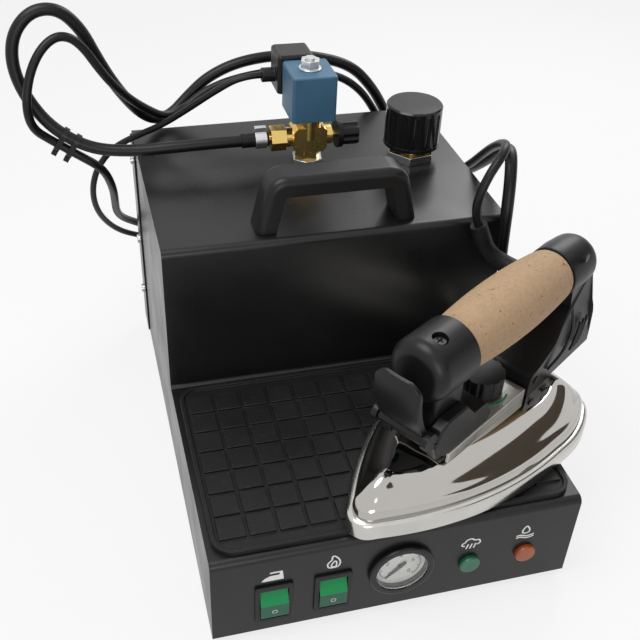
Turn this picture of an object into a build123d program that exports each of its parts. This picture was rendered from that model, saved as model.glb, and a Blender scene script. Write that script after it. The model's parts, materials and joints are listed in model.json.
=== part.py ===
"""Steam generator iron: a stepped sheet-metal cabinet with its boiler and steam valve, and an
iron with a cork grip that rests on the cabinet's rubber mat.  Millimetres, +Z up."""
from build123d import *
from math import cos, pi, radians, sin, tan
import os

# ---------------------------------------------------------------- driving dimensions
# cabinet
cab_w, cab_d, cab_h = 250.0, 356.0, 190.0
step_y, step_h = 169.0, 72.0
sheet = 1.5
edge_r, crease_r = 5.0, 3.0
fit_gap = 0.2
foot_d, foot_h, foot_inset = 20.0, 6.0, 26.0
pan_flange = 10.0
cover_t, cover_flange = 1.2, 24.0
# front panel, measured from the cabinet's middle and its bottom edge
panel_z = 27.0
power_x, heater_x, gauge_x, green_x, orange_x = -84.5, -45.5, 0.6, 49.5, 90.0
bezel_w, bezel_h, bezel_t = 25.0, 35.5, 2.2
switch_w, switch_h, switch_d = 21.6, 30.0, 22.0
rocker_w, rocker_r, rocker_ridge, rocker_tilt, rocker_throw = 18.4, 13.6, 8.0, 12.0, 20.0
pivot_y, trunnion_r, running = 4.0, 1.5, 0.06
gauge_z, gauge_flange_d, gauge_case_d, gauge_case_l, dial_d = 36.5, 45.0, 40.0, 24.0, 35.0
lamp_z, lamp_d, lamp_body_d, lamp_body_l = 28.5, 14.5, 11.0, 18.0
# rest mat
mat_margin, mat_front, mat_rear, mat_t, mat_pad_t = 4.0, 5.0, 7.0, 2.2, 1.8
mat_r, mat_rim, mat_pitch, mat_pad = 14.0, 3.0, 19.5, 17.2
# grab handle
grab_y, grab_d, grab_foot_w, grab_top_w, grab_h = 190.0, 26.0, 117.0, 98.0, 42.0
grab_wall, grab_grip, grab_fillet, grab_screw_d = 14.0, 14.0, 6.0, 5.0
# boiler
tank_r, tank_wall, tank_l, tank_x, tank_y, tank_z = 56.0, 2.0, 204.0, 4.0, 272.0, 92.0
jacket_t, jacket_l = 8.0, 110.0
saddle_t, saddle_x, element_r, element_reach, element_drop = 12.0, 72.0, 4.0, 160.0, 18.0
neck_tube_r, neck_bore_r, bush_drop = 14.0, 9.0, 16.0
# filler
filler_x, filler_y = 86.0, 272.0
bush_af, bush_h, spigot_r, spigot_h = 34.0, 7.0, 12.0, 22.0
cap_r, cap_h, cap_gap, flutes, flute_r = 21.8, 33.0, 5.0, 14, 3.2
# valve
valve_x, valve_y = 3.5, 280.0
nipple_af, nipple_h, locknut_af, locknut_h = 17.0, 11.0, 22.0, 4.0
body_w, body_d, body_h, port_r, port_l, neck_r, neck_h = 26.0, 18.0, 20.0, 7.5, 5.0, 9.5, 9.0
coil_w, coil_d, coil_h, coil_bore_r, tube_r, tube_bore_r = 34.0, 36.0, 35.0, 6.8, 6.5, 5.0
plunger_r, plunger_l, spring_wire_r = 4.94, 20.0, 0.5
plug_w, plug_d, plug_h, plug_shift = 28.0, 27.0, 30.0, -6.0
knob_disc_r, knob_grip_r, knob_grip_l = 11.0, 9.5, 13.0
barb_hex_af, barb_hex_l, barb_r, barb_l = 17.0, 12.0, 3.4, 22.0
clamp_w, clamp_t, sleeve_r = 9.0, 1.2, 5.6
# iron, in its own frame: from the nose along the sole, across it, and up from the mat
iron_x, iron_y, iron_turn = -35.3, 0.8, 32.5
sole_l, sole_half, sole_t, sole_lip = 212.0, 60.5, 13.0, 1.6
nose_l, nose_half, heel_l, heel_half, waist_l = 9.0, 12.5, 203.0, 47.0, 150.0
cover_in, cover_skirt, cover_step, cover_top, cover_wall = 4.5, 9.0, 14.0, 36.0, 1.2
plate_u0, plate_u1, plate_half, plate_top, plate_wall = 62.0, 149.0, 23.0, 44.0, 2.0
dial_u, dial_r, dial_h, dial_spindle_r = 128.0, 15.5, 14.0, 3.0
grip_w, grip_u0, grip_u1, grip_end_r, grip_mid_r, rod_r = 104.0, 84.0, 198.0, 18.5, 22.0, 6.0
front_u0, front_r = 46.0, 21.5
switch_u0, switch_u1, switch_top, switch_half = 46.0, 108.0, 62.0, 22.0
housing_half, housing_u0, housing_u1, housing_top, housing_wall = 24.0, 151.0, 236.0, 127.0, 2.5
trigger_u, trigger_w, trigger_half, trigger_pin_r = 42.0, 66.0, 17.0, 2.0
guard_r, guard_collar_r, guard_collar_l = 7.0, 8.6, 6.0
hose_d, cable_d, lead_d = 9.0, 6.5, 5.0

# ---------------------------------------------------------------- places worked out from them
base_z = foot_h
mat_z = base_z + step_h
top_z = base_z + cab_h
sole_z = mat_z + mat_t + mat_pad_t
valve_z = top_z + nipple_h + body_h / 2
coil_z0 = valve_z + body_h / 2 + neck_h
cap_z0 = top_z + bush_h + cap_gap
ux, uy = cos(radians(iron_turn)), sin(radians(iron_turn))
iron = Plane(origin=(iron_x, iron_y, sole_z), x_dir=(ux, uy, 0), z_dir=(0, 0, 1))
front = Plane(origin=(0, 0, base_z), x_dir=(1, 0, 0), z_dir=(0, -1, 0))
iron_side = Plane(origin=(iron_x, iron_y, sole_z), x_dir=(ux, uy, 0), z_dir=(uy, -ux, 0))


def on_iron(u, v, w):
    """A point of the iron's own frame, in the part's frame."""
    return (iron_x + u * ux - v * uy, iron_y + u * uy + v * ux, sole_z + w)


def iron_across(u, w):
    """A plane that looks along the iron, at one distance from its nose."""
    return Plane(origin=on_iron(u, 0, w), x_dir=(-uy, ux, 0), z_dir=(ux, uy, 0))


pieces = []


def finish(builder, label):
    """Name a finished piece and keep it for writing."""
    builder.part.label = label
    pieces.append(builder)


# ---------------------------------------------------------------- cabinet
def step_profile(inset, bottom, rear):
    """Side profile of the stepped cabinet, drawn a little inside its outer faces."""
    Polyline(
        (inset, bottom), (inset, mat_z - inset), (step_y + inset, mat_z - inset),
        (step_y + inset, top_z - inset), (rear, top_z - inset), (rear, bottom), close=True,
    )


side = Plane(origin=(-cab_w / 2, 0, 0), x_dir=(0, 1, 0), z_dir=(1, 0, 0))
with BuildPart() as cabinet_shell:
    with BuildSketch(side) as outer:
        with BuildLine():
            step_profile(0, base_z, cab_d)
        make_face()
        fillet(outer.vertices().sort_by_distance((0, mat_z))[0], edge_r)
        fillet(outer.vertices().sort_by_distance((step_y, top_z))[0], edge_r)
        fillet(outer.vertices().sort_by_distance((step_y, mat_z))[0], crease_r)
    extrude(amount=cab_w)
    with BuildSketch(side.offset(sheet)) as inner:
        with BuildLine():
            step_profile(sheet, base_z - 1, cab_d + 1)
        make_face()
        fillet(inner.vertices().sort_by_distance((sheet, mat_z - sheet))[0], edge_r - sheet)
        fillet(inner.vertices().sort_by_distance((step_y + sheet, top_z - sheet))[0], edge_r - sheet)
        fillet(inner.vertices().sort_by_distance((step_y + sheet, mat_z - sheet))[0], crease_r + sheet)
    extrude(amount=cab_w - 2 * sheet, mode=Mode.SUBTRACT)
    with BuildSketch(front):
        with Locations((power_x, panel_z), (heater_x, panel_z)):
            Rectangle(switch_w + 2 * fit_gap, switch_h + 2 * fit_gap)
        with Locations((gauge_x, gauge_z)):
            Circle(gauge_case_d / 2 + fit_gap)
        with Locations((green_x, lamp_z), (orange_x, lamp_z)):
            Circle(lamp_body_d / 2 + fit_gap)
    extrude(amount=-10, mode=Mode.SUBTRACT)
    with BuildSketch(Plane.XY.offset(top_z - 5)):
        with Locations((filler_x, filler_y)):
            Circle(spigot_r + 2 + fit_gap)
        with Locations((valve_x, valve_y)):
            Circle(6 + fit_gap)
        with Locations((-grab_foot_w / 2 + grab_wall / 2, grab_y), (grab_foot_w / 2 - grab_wall / 2, grab_y)):
            Circle(grab_screw_d / 2 + fit_gap)
    extrude(amount=10, mode=Mode.SUBTRACT)
finish(cabinet_shell, "cabinet_shell")

pan_w = cab_w - 2 * sheet - 2 * fit_gap
pan_d = cab_d - sheet - 2 * fit_gap
with BuildPart() as base_pan:
    with BuildSketch(Plane.XY.offset(base_z)):
        with Locations((0, sheet + fit_gap + pan_d / 2)):
            Rectangle(pan_w, pan_d)
    extrude(amount=pan_flange)
    with BuildSketch(Plane.XY.offset(base_z + sheet)):
        with Locations((0, sheet + fit_gap + pan_d / 2)):
            Rectangle(pan_w - 2 * sheet, pan_d - 2 * sheet)
    extrude(amount=pan_flange, mode=Mode.SUBTRACT)
finish(base_pan, "base_pan")

feet_grid = Plane(origin=(0, cab_d / 2, 0))
with BuildPart() as rubber_feet:
    with BuildSketch(feet_grid):
        with GridLocations(cab_w - 2 * foot_inset, cab_d - 2 * foot_inset, 2, 2):
            Circle(foot_d / 2)
    extrude(amount=foot_h)
    chamfer(rubber_feet.edges().group_by(Axis.Z)[0], 1)
finish(rubber_feet, "rubber_feet")

inlet_x, inlet_z, inlet_w, inlet_h = 70.0, 34.0, 27.0, 20.0
gland_xs, gland_z, gland_r = (-92.0, -66.0), 66.0, 8.0
screw_zs = (48.0, 100.0, 176.0)
cover_y = cab_d + fit_gap
with BuildPart() as rear_cover:
    with BuildSketch(Plane.XY.offset(base_z + 3)):
        with Locations((0, cover_y + cover_t - (cover_flange + cover_t) / 2)):
            Rectangle(cab_w + 2 * fit_gap + 2 * cover_t, cover_flange + cover_t)
        with Locations((0, cover_y - cover_flange)):
            Rectangle(cab_w + 2 * fit_gap, 2 * cover_flange, mode=Mode.SUBTRACT)
    extrude(amount=cab_h - 6)
    with BuildSketch(Plane.XZ.offset(-cover_y - 5)):
        with Locations((inlet_x, base_z + inlet_z)):
            Rectangle(inlet_w + 2 * fit_gap, inlet_h + 2 * fit_gap)
        with Locations(*[(x, base_z + gland_z) for x in gland_xs]):
            Circle(gland_r - 2 + fit_gap)
    extrude(amount=10, mode=Mode.SUBTRACT)
finish(rear_cover, "rear_cover")

with BuildPart() as cabinet_screws:
    for way in (-1, 1):
        for screw_z in screw_zs:
            head = Plane(
                origin=(way * (cab_w / 2 + fit_gap + cover_t), cab_d - cover_flange / 2, screw_z),
                z_dir=(way, 0, 0),
            )
            with BuildSketch(head):
                Circle(3.6)
            extrude(amount=2.2)
            with BuildSketch(head.offset(1.2)):
                Rectangle(4.6, 1)
            extrude(amount=2, mode=Mode.SUBTRACT)
    with BuildSketch(Plane.XY.offset(top_z - sheet - 4)):
        with Locations((-grab_foot_w / 2 + grab_wall / 2, grab_y), (grab_foot_w / 2 - grab_wall / 2, grab_y)):
            Circle(grab_screw_d - 0.5)
    extrude(amount=4)
    with BuildSketch(Plane.XY.offset(top_z - sheet)):
        with Locations((-grab_foot_w / 2 + grab_wall / 2, grab_y), (grab_foot_w / 2 - grab_wall / 2, grab_y)):
            Circle(grab_screw_d / 2)
    extrude(amount=sheet + 12)
finish(cabinet_screws, "cabinet_screws")

with BuildPart() as mains_inlet:
    with BuildSketch(Plane.XZ.offset(-cover_y - cover_t)):
        with Locations((inlet_x, base_z + inlet_z)):
            RectangleRounded(inlet_w + 21, inlet_h + 4, 3)
    extrude(amount=-3)
    with BuildSketch(Plane.XZ.offset(-cover_y - cover_t)):
        with Locations((inlet_x, base_z + inlet_z)):
            Rectangle(inlet_w, inlet_h)
    extrude(amount=20)
    with BuildSketch(Plane.XZ.offset(-cover_y - cover_t - 3)):
        with Locations((inlet_x, base_z + inlet_z)):
            Rectangle(inlet_w - 4, inlet_h - 4)
    extrude(amount=18, mode=Mode.SUBTRACT)
    with BuildSketch(Plane.XZ.offset(-cover_y + 16)):
        with Locations((inlet_x - 7, base_z + inlet_z - 1), (inlet_x, base_z + inlet_z + 3),
                       (inlet_x + 7, base_z + inlet_z - 1)):
            Rectangle(2, 4)
    extrude(amount=-18)
finish(mains_inlet, "mains_inlet")

gland_l = 16.0
with BuildPart() as cable_glands:
    for x in gland_xs:
        seat = Plane(origin=(x, cover_y + cover_t, base_z + gland_z), z_dir=(0, 1, 0))
        with BuildSketch(seat):
            RegularPolygon(gland_r, 6)
        extrude(amount=5)
        with BuildSketch(seat.offset(5)):
            Circle(gland_r - 1)
        extrude(amount=gland_l - 5, taper=8)
        with BuildSketch(seat):
            Circle(gland_r - 2)
        extrude(amount=-10)
finish(cable_glands, "cable_glands")

# ---------------------------------------------------------------- rest mat
mat_w = cab_w - 2 * mat_margin
mat_d = step_y - mat_front - mat_rear
mat_y = mat_front + mat_d / 2
pad_cols = int((mat_w - 2 * mat_rim - mat_pad) // mat_pitch) + 1
pad_rows = int((mat_d - 2 * mat_rim - mat_pad) // mat_pitch) + 1
with BuildPart() as rest_mat:
    with BuildSketch(Plane.XY.offset(mat_z)):
        with Locations((0, mat_y)):
            RectangleRounded(mat_w, mat_d, mat_r)
    extrude(amount=mat_t)
    with BuildSketch(Plane.XY.offset(mat_z + mat_t)):
        with Locations((0, mat_y)):
            RectangleRounded(mat_w, mat_d, mat_r)
            RectangleRounded(mat_w - 2 * mat_rim, mat_d - 2 * mat_rim, mat_r - mat_rim, mode=Mode.SUBTRACT)
    extrude(amount=mat_pad_t)
    with BuildSketch(Plane.XY.offset(mat_z + mat_t)):
        with Locations((0, mat_y)):
            with GridLocations(mat_pitch, mat_pitch, pad_cols, pad_rows):
                Rectangle(mat_pad, mat_pad)
    extrude(amount=mat_pad_t)
finish(rest_mat, "rest_mat")

# ---------------------------------------------------------------- grab handle
handle_face = Plane(origin=(0, grab_y + grab_d / 2, top_z), x_dir=(1, 0, 0), z_dir=(0, -1, 0))
with BuildPart() as grab_handle:
    with BuildSketch(handle_face):
        with BuildLine():
            Polyline(
                (-grab_foot_w / 2, 0), (-grab_top_w / 2, grab_h), (grab_top_w / 2, grab_h),
                (grab_foot_w / 2, 0), close=True,
            )
        make_face()
        fillet(vertices().group_by(Axis.Y)[-1], 16)
        with BuildLine():
            Polyline(
                (-grab_foot_w / 2 + grab_wall, -1), (-grab_top_w / 2 + grab_wall - 3, grab_h - grab_grip),
                (grab_top_w / 2 - grab_wall + 3, grab_h - grab_grip), (grab_foot_w / 2 - grab_wall, -1),
                close=True,
            )
        make_face(mode=Mode.SUBTRACT)
    extrude(amount=grab_d)
    fillet(grab_handle.edges().filter_by(Axis.X).group_by(Axis.Z)[-1], grab_fillet)
    screw_seat = Plane.XY.offset(top_z)
    with BuildSketch(screw_seat):
        with Locations((-grab_foot_w / 2 + grab_wall / 2, grab_y), (grab_foot_w / 2 - grab_wall / 2, grab_y)):
            Circle(grab_screw_d / 2 + fit_gap)
    extrude(amount=14, mode=Mode.SUBTRACT)
finish(grab_handle, "grab_handle")

# ---------------------------------------------------------------- switches
pocket_w, pocket_h = rocker_w + 2 * fit_gap, 2 * rocker_r + 4 * fit_gap
with BuildPart() as switch_cases:
    with BuildSketch(front):
        with Locations((power_x, panel_z), (heater_x, panel_z)):
            RectangleRounded(bezel_w, bezel_h, 1.5)
    extrude(amount=bezel_t)
    chamfer(switch_cases.edges().group_by(Axis.Y)[0], 0.6)
    with BuildSketch(front):
        with Locations((power_x, panel_z), (heater_x, panel_z)):
            Rectangle(switch_w, switch_h)
    extrude(amount=-switch_d)
    with BuildSketch(front.offset(bezel_t)):
        with Locations((power_x, panel_z), (heater_x, panel_z)):
            Rectangle(pocket_w, pocket_h)
    extrude(amount=-bezel_t - pivot_y - rocker_r - 1, mode=Mode.SUBTRACT)
    with BuildSketch(front.offset(-switch_d)):
        for x in (power_x, heater_x):
            with Locations((x, panel_z)):
                with GridLocations(10, 8, 2, 3):
                    Rectangle(0.8, 5)
    extrude(amount=-8)
    for x in (power_x, heater_x):
        with BuildSketch(Plane(origin=(x, pivot_y, base_z + panel_z), z_dir=(1, 0, 0))):
            Circle(trunnion_r + running)
        extrude(amount=switch_w / 2 - 0.6, both=True, mode=Mode.SUBTRACT)
finish(switch_cases, "switch_cases")


def rocker(x):
    """A rocker with its two faces and its trunnions, resting with its top half pushed in."""
    pivot = (x - rocker_w / 2, pivot_y, base_z + panel_z)
    lean = radians(-rocker_throw / 2)
    side_face = Plane(origin=pivot, x_dir=(0, cos(lean), sin(lean)), z_dir=(1, 0, 0))
    slope = rocker_r * 1.2 * tan(radians(rocker_tilt))
    with BuildPart() as key:
        with BuildSketch(side_face):
            with BuildLine():
                Polyline(
                    (-rocker_ridge, 0), (slope - rocker_ridge, rocker_r * 1.2), (3, rocker_r * 1.2),
                    (3, -rocker_r * 1.2), (slope - rocker_ridge, -rocker_r * 1.2), close=True,
                )
            make_face()
            Circle(rocker_r, mode=Mode.INTERSECT)
        extrude(amount=rocker_w)
        with BuildSketch(side_face.offset(rocker_w / 2)):
            Circle(trunnion_r)
        extrude(amount=rocker_w / 2 + 0.8, both=True)
    return key


power_rocker = rocker(power_x)
finish(power_rocker, "power_rocker")
heater_rocker = rocker(heater_x)
finish(heater_rocker, "heater_rocker")

# ---------------------------------------------------------------- pressure gauge
gauge = Plane(origin=(gauge_x, 0, base_z + gauge_z), x_dir=(1, 0, 0), z_dir=(0, -1, 0))
flange_t, dial_t, glass_t, arbor_r = 4.0, 0.6, 1.2, 1.0
with BuildPart() as gauge_case:
    with BuildSketch(gauge):
        Circle(gauge_flange_d / 2)
    extrude(amount=flange_t)
    fillet(gauge_case.edges().group_by(Axis.Y)[0], 1.6)
    with BuildSketch(gauge):
        Circle(gauge_case_d / 2)
    extrude(amount=-gauge_case_l)
    with BuildSketch(gauge.offset(flange_t)):
        Circle(dial_d / 2 + fit_gap)
    extrude(amount=-7, mode=Mode.SUBTRACT)
    with BuildSketch(gauge.offset(-gauge_case_l)):
        Circle(5)
    extrude(amount=-10)
    with BuildSketch(gauge.offset(flange_t)):
        Circle(arbor_r + running)
    extrude(amount=-flange_t - 12, mode=Mode.SUBTRACT)
finish(gauge_case, "gauge_case")

with BuildPart() as gauge_dial:
    with BuildSketch(gauge.offset(flange_t - 7)):
        Circle(dial_d / 2)
        Circle(arbor_r + 0.6, mode=Mode.SUBTRACT)
    extrude(amount=dial_t)
finish(gauge_dial, "gauge_dial")

needle_rest = radians(225.0)
needle_plane = Plane(
    origin=(gauge_x, 7 - flange_t - dial_t - 0.8, base_z + gauge_z),
    x_dir=(cos(needle_rest), 0, sin(needle_rest)), z_dir=(0, -1, 0),
)
with BuildPart() as gauge_needle:
    with BuildSketch(needle_plane):
        with BuildLine():
            Polyline(
                (-5, -1.1), (-5, 1.1), (0, 1.5), (dial_d / 2 - 4, 0.3), (dial_d / 2 - 4, -0.3), (0, -1.5),
                close=True,
            )
        make_face()
    extrude(amount=0.5)
    with BuildSketch(gauge.offset(flange_t - 7 - 8)):
        Circle(arbor_r)
    extrude(amount=8 + dial_t + 1.6)
finish(gauge_needle, "gauge_needle")

with BuildPart() as gauge_glass:
    with BuildSketch(gauge.offset(flange_t - 1 - glass_t)):
        Circle(dial_d / 2)
    extrude(amount=glass_t)
finish(gauge_glass, "gauge_glass")

# ---------------------------------------------------------------- lamps
def lamp(x):
    """An indicator lamp: a domed lens in front of the panel and its body behind."""
    seat = Plane(origin=(x, 0, base_z + lamp_z), x_dir=(1, 0, 0), z_dir=(0, -1, 0))
    with BuildPart() as lens:
        with BuildSketch(seat):
            Circle(lamp_d / 2)
        extrude(amount=3.5)
        fillet(lens.edges().group_by(Axis.Y)[0], 1.5)
        with BuildSketch(seat):
            Circle(lamp_body_d / 2)
        extrude(amount=-lamp_body_l)
    return lens


finish(lamp(green_x), "steam_lamp")
finish(lamp(orange_x), "water_lamp")

# ---------------------------------------------------------------- boiler
tank_end = Plane(origin=(tank_x - tank_l / 2, tank_y, tank_z), x_dir=(0, 1, 0), z_dir=(1, 0, 0))
above_tank = Plane.XY.offset(tank_z)
neck_z = top_z - bush_drop
thermostat_x, pressure_x = -30.0, 40.0
with BuildPart() as boiler_tank:
    with BuildSketch(tank_end):
        Circle(tank_r)
    extrude(amount=tank_l)
    fillet(boiler_tank.edges().filter_by(GeomType.CIRCLE), 2 * tank_wall)
    with BuildSketch(above_tank):
        with Locations((filler_x, filler_y)):
            Circle(neck_tube_r)
    extrude(amount=neck_z - tank_z)
    with BuildSketch(above_tank):
        with Locations((valve_x, valve_y)):
            Circle(6)
    extrude(amount=top_z - 10 - tank_z)
    with BuildSketch(tank_end.offset(tank_wall)):
        Circle(tank_r - tank_wall)
    extrude(amount=tank_l - 2 * tank_wall, mode=Mode.SUBTRACT)
    with BuildSketch(above_tank):
        with Locations((filler_x, filler_y)):
            Circle(neck_bore_r)
        with Locations((valve_x, valve_y)):
            Circle(3.5)
    extrude(amount=top_z - tank_z, mode=Mode.SUBTRACT)
    with BuildSketch(tank_end):
        with Locations((0, -element_drop)):
            Circle(18)
    extrude(amount=tank_wall, mode=Mode.SUBTRACT)
finish(boiler_tank, "boiler_tank")

with BuildPart() as heating_element:
    element_z = tank_z - element_drop
    x0 = tank_x - tank_l / 2
    with BuildSketch(tank_end):
        with Locations((0, -element_drop)):
            Circle(24)
    extrude(amount=-4)
    with BuildSketch(tank_end.offset(-4)):
        with Locations((-12, -element_drop), (12, -element_drop)):
            Circle(2.5)
    extrude(amount=-9)
    with BuildLine() as element_line:
        FilletPolyline(
            (x0 - 1, tank_y - 12, element_z), (x0 + element_reach, tank_y - 12, element_z),
            (x0 + element_reach, tank_y + 12, element_z), (x0 - 1, tank_y + 12, element_z), radius=11.9,
        )
    with BuildSketch(Plane(origin=element_line.line @ 0, z_dir=element_line.line % 0)):
        Circle(element_r)
    sweep()
finish(heating_element, "heating_element")

jacket_end = Plane(origin=(tank_x - jacket_l / 2, tank_y, tank_z), x_dir=(0, 1, 0), z_dir=(1, 0, 0))
with BuildPart() as boiler_jacket:
    with BuildSketch(jacket_end):
        Circle(tank_r + fit_gap + jacket_t)
        Circle(tank_r + fit_gap, mode=Mode.SUBTRACT)
    extrude(amount=jacket_l)
    with BuildSketch(above_tank):
        with Locations((valve_x, valve_y)):
            Circle(9)
        with Locations((thermostat_x, tank_y)):
            Circle(11)
        with Locations((pressure_x, tank_y)):
            Circle(17)
    extrude(amount=tank_r + jacket_t + 2, mode=Mode.SUBTRACT)
finish(boiler_jacket, "boiler_jacket")

with BuildPart() as boiler_saddles:
    saddle_h = tank_z - tank_r * 0.55 - base_z - sheet
    for way in (-1, 1):
        middle = Plane.XY.offset(base_z + sheet)
        with BuildSketch(middle):
            with Locations((tank_x + way * saddle_x, tank_y)):
                Rectangle(saddle_t, tank_r * 1.5)
        extrude(amount=saddle_h)
    with BuildSketch(tank_end):
        Circle(tank_r + fit_gap)
    extrude(amount=tank_l, mode=Mode.SUBTRACT)
finish(boiler_saddles, "boiler_saddles")

with BuildPart() as boiler_thermostat:
    with BuildSketch(Plane.XY.offset(tank_z + tank_r + fit_gap)):
        with Locations((thermostat_x, tank_y)):
            Circle(8.5)
    extrude(amount=8)
    with BuildSketch(Plane.XY.offset(tank_z + tank_r + 8)):
        with Locations((thermostat_x - 5, tank_y), (thermostat_x + 5, tank_y)):
            Rectangle(0.8, 6)
    extrude(amount=8)
finish(boiler_thermostat, "boiler_thermostat")

with BuildPart() as pressure_switch:
    with BuildSketch(Plane.XY.offset(tank_z + tank_r + fit_gap)):
        with Locations((pressure_x, tank_y)):
            Circle(5)
    extrude(amount=10)
    with BuildSketch(Plane.XY.offset(tank_z + tank_r + 10)):
        with Locations((pressure_x, tank_y)):
            Circle(15)
    extrude(amount=22)
    with BuildSketch(Plane.XY.offset(tank_z + tank_r + 32)):
        with Locations((pressure_x - 6, tank_y), (pressure_x + 6, tank_y)):
            Rectangle(0.8, 6)
    extrude(amount=7)
finish(pressure_switch, "pressure_switch")

# ---------------------------------------------------------------- filler
with BuildPart() as filler_bushing:
    with BuildSketch(Plane.XY.offset(neck_z)):
        with Locations((filler_x, filler_y)):
            Circle(neck_tube_r)
    extrude(amount=bush_drop)
    with BuildSketch(Plane.XY.offset(top_z)):
        with Locations((filler_x, filler_y)):
            RegularPolygon(bush_af / 2, 6, major_radius=False, rotation=10)
    extrude(amount=bush_h)
    with BuildSketch(Plane.XY.offset(top_z + bush_h)):
        with Locations((filler_x, filler_y)):
            Circle(spigot_r + 1)
    extrude(amount=cap_gap)
    with BuildSketch(Plane.XY.offset(top_z + bush_h)):
        with Locations((filler_x, filler_y)):
            Circle(spigot_r)
    extrude(amount=spigot_h)
    with BuildSketch(Plane.XY.offset(neck_z)):
        with Locations((filler_x, filler_y)):
            Circle(neck_bore_r)
    extrude(amount=bush_drop + bush_h + spigot_h, mode=Mode.SUBTRACT)
finish(filler_bushing, "filler_bushing")

seal_t, seal_z = 2.0, top_z + bush_h + spigot_h
with BuildPart() as cap_seal:
    with BuildSketch(Plane.XY.offset(seal_z)):
        with Locations((filler_x, filler_y)):
            Circle(spigot_r - 0.3)
    extrude(amount=seal_t)
finish(cap_seal, "cap_seal")

with BuildPart() as filler_cap:
    with BuildSketch(Plane.XY.offset(cap_z0)):
        with Locations((filler_x, filler_y)):
            Circle(cap_r)
            with PolarLocations(cap_r + flute_r * 0.6, flutes):
                Circle(flute_r, mode=Mode.SUBTRACT)
    extrude(amount=cap_h)
    with BuildSketch(Plane.XY.offset(cap_z0)):
        with Locations((filler_x, filler_y)):
            Circle(cap_r + 0.3)
    extrude(amount=3)
    with BuildSketch(Plane.XY.offset(cap_z0 + cap_h - 4)):
        with Locations((filler_x, filler_y)):
            Circle(cap_r)
    extrude(amount=4)
    chamfer(filler_cap.edges().group_by(Axis.Z)[-1], 1.2)
    with BuildSketch(Plane.XY.offset(cap_z0)):
        with Locations((filler_x, filler_y)):
            Circle(spigot_r + running)
    extrude(amount=seal_z + seal_t - cap_z0, mode=Mode.SUBTRACT)
finish(filler_cap, "filler_cap")

# ---------------------------------------------------------------- steam valve
with BuildPart() as valve_nipple:
    with BuildSketch(Plane.XY.offset(top_z - 10)):
        with Locations((valve_x, valve_y)):
            Circle(6)
    extrude(amount=10 + nipple_h)
    with BuildSketch(Plane.XY.offset(top_z + locknut_h)):
        with Locations((valve_x, valve_y)):
            RegularPolygon(nipple_af / 2, 6, major_radius=False)
    extrude(amount=nipple_h - locknut_h)
    with BuildSketch(Plane.XY.offset(top_z - 10)):
        with Locations((valve_x, valve_y)):
            Circle(3.5)
    extrude(amount=10 + nipple_h, mode=Mode.SUBTRACT)
finish(valve_nipple, "valve_nipple")

with BuildPart() as valve_locknut:
    with BuildSketch(Plane.XY.offset(top_z)):
        with Locations((valve_x, valve_y)):
            RegularPolygon(locknut_af / 2, 6, major_radius=False, rotation=20)
            Circle(6 + running, mode=Mode.SUBTRACT)
    extrude(amount=locknut_h)
finish(valve_locknut, "valve_locknut")

port = Plane(origin=(valve_x, valve_y, valve_z), x_dir=(0, 1, 0), z_dir=(1, 0, 0))
spindle_r = 2.5
with BuildPart() as valve_body:
    with BuildSketch(Plane.XY.offset(valve_z - body_h / 2)):
        with Locations((valve_x, valve_y)):
            Rectangle(body_w, body_d)
    extrude(amount=body_h)
    chamfer(valve_body.edges().filter_by(Axis.Y), 3)
    with BuildSketch(Plane.XY.offset(valve_z)):
        with Locations((valve_x, valve_y)):
            Circle(neck_r)
    extrude(amount=body_h / 2 + neck_h)
    with BuildSketch(port.offset(-body_w / 2 - port_l)):
        Circle(port_r)
    extrude(amount=body_w + 2 * port_l)
    with BuildSketch(port.offset(-body_w / 2 - port_l)):
        Circle(3.5)
    extrude(amount=body_w / 2 + port_l, mode=Mode.SUBTRACT)
    with BuildSketch(port):
        Circle(spindle_r + running)
    extrude(amount=body_w / 2 + port_l, mode=Mode.SUBTRACT)
    with BuildSketch(Plane.XY.offset(valve_z - body_h / 2)):
        with Locations((valve_x, valve_y)):
            Circle(3.5)
    extrude(amount=body_h, mode=Mode.SUBTRACT)
    with BuildSketch(Plane.XY.offset(valve_z + body_h / 2 - 2)):
        with Locations((valve_x, valve_y)):
            Circle(tube_bore_r)
    extrude(amount=neck_h, mode=Mode.SUBTRACT)
    with BuildSketch(Plane.XY.offset(valve_z + body_h / 2 + 3)):
        with Locations((valve_x, valve_y)):
            Circle(tube_r + running)
    extrude(amount=neck_h, mode=Mode.SUBTRACT)
finish(valve_body, "valve_body")

tube_z0 = valve_z + body_h / 2 + 3
plunger_z0 = valve_z + body_h / 2 - 1
stud_r, washer_t, nut_h, nut_af = 4.0, 1.2, 6.0, 13.0
spring_z0 = plunger_z0 + plunger_l
spring_h = 10.0
with BuildPart() as armature_tube:
    with BuildSketch(Plane.XY.offset(tube_z0)):
        with Locations((valve_x, valve_y)):
            Circle(tube_r)
    extrude(amount=coil_z0 + coil_h - tube_z0)
    with BuildSketch(Plane.XY.offset(tube_z0)):
        with Locations((valve_x, valve_y)):
            Circle(stud_r)
    extrude(amount=coil_z0 + coil_h + washer_t + nut_h + 1.5 - tube_z0)
    with BuildSketch(Plane.XY.offset(tube_z0)):
        with Locations((valve_x, valve_y)):
            Circle(tube_bore_r)
    extrude(amount=spring_z0 + spring_h - tube_z0, mode=Mode.SUBTRACT)
finish(armature_tube, "armature_tube")

with BuildPart() as valve_plunger:
    with BuildSketch(Plane.XY.offset(plunger_z0)):
        with Locations((valve_x, valve_y)):
            Circle(plunger_r)
    extrude(amount=plunger_l)
finish(valve_plunger, "valve_plunger")

with BuildPart() as plunger_spring:
    with BuildSketch(Plane.XY.offset(spring_z0)):
        with Locations((valve_x, valve_y)):
            Circle(plunger_r - 0.4)
            Circle(plunger_r - 0.4 - 2 * spring_wire_r, mode=Mode.SUBTRACT)
    extrude(amount=spring_h)
finish(plunger_spring, "plunger_spring")

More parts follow.
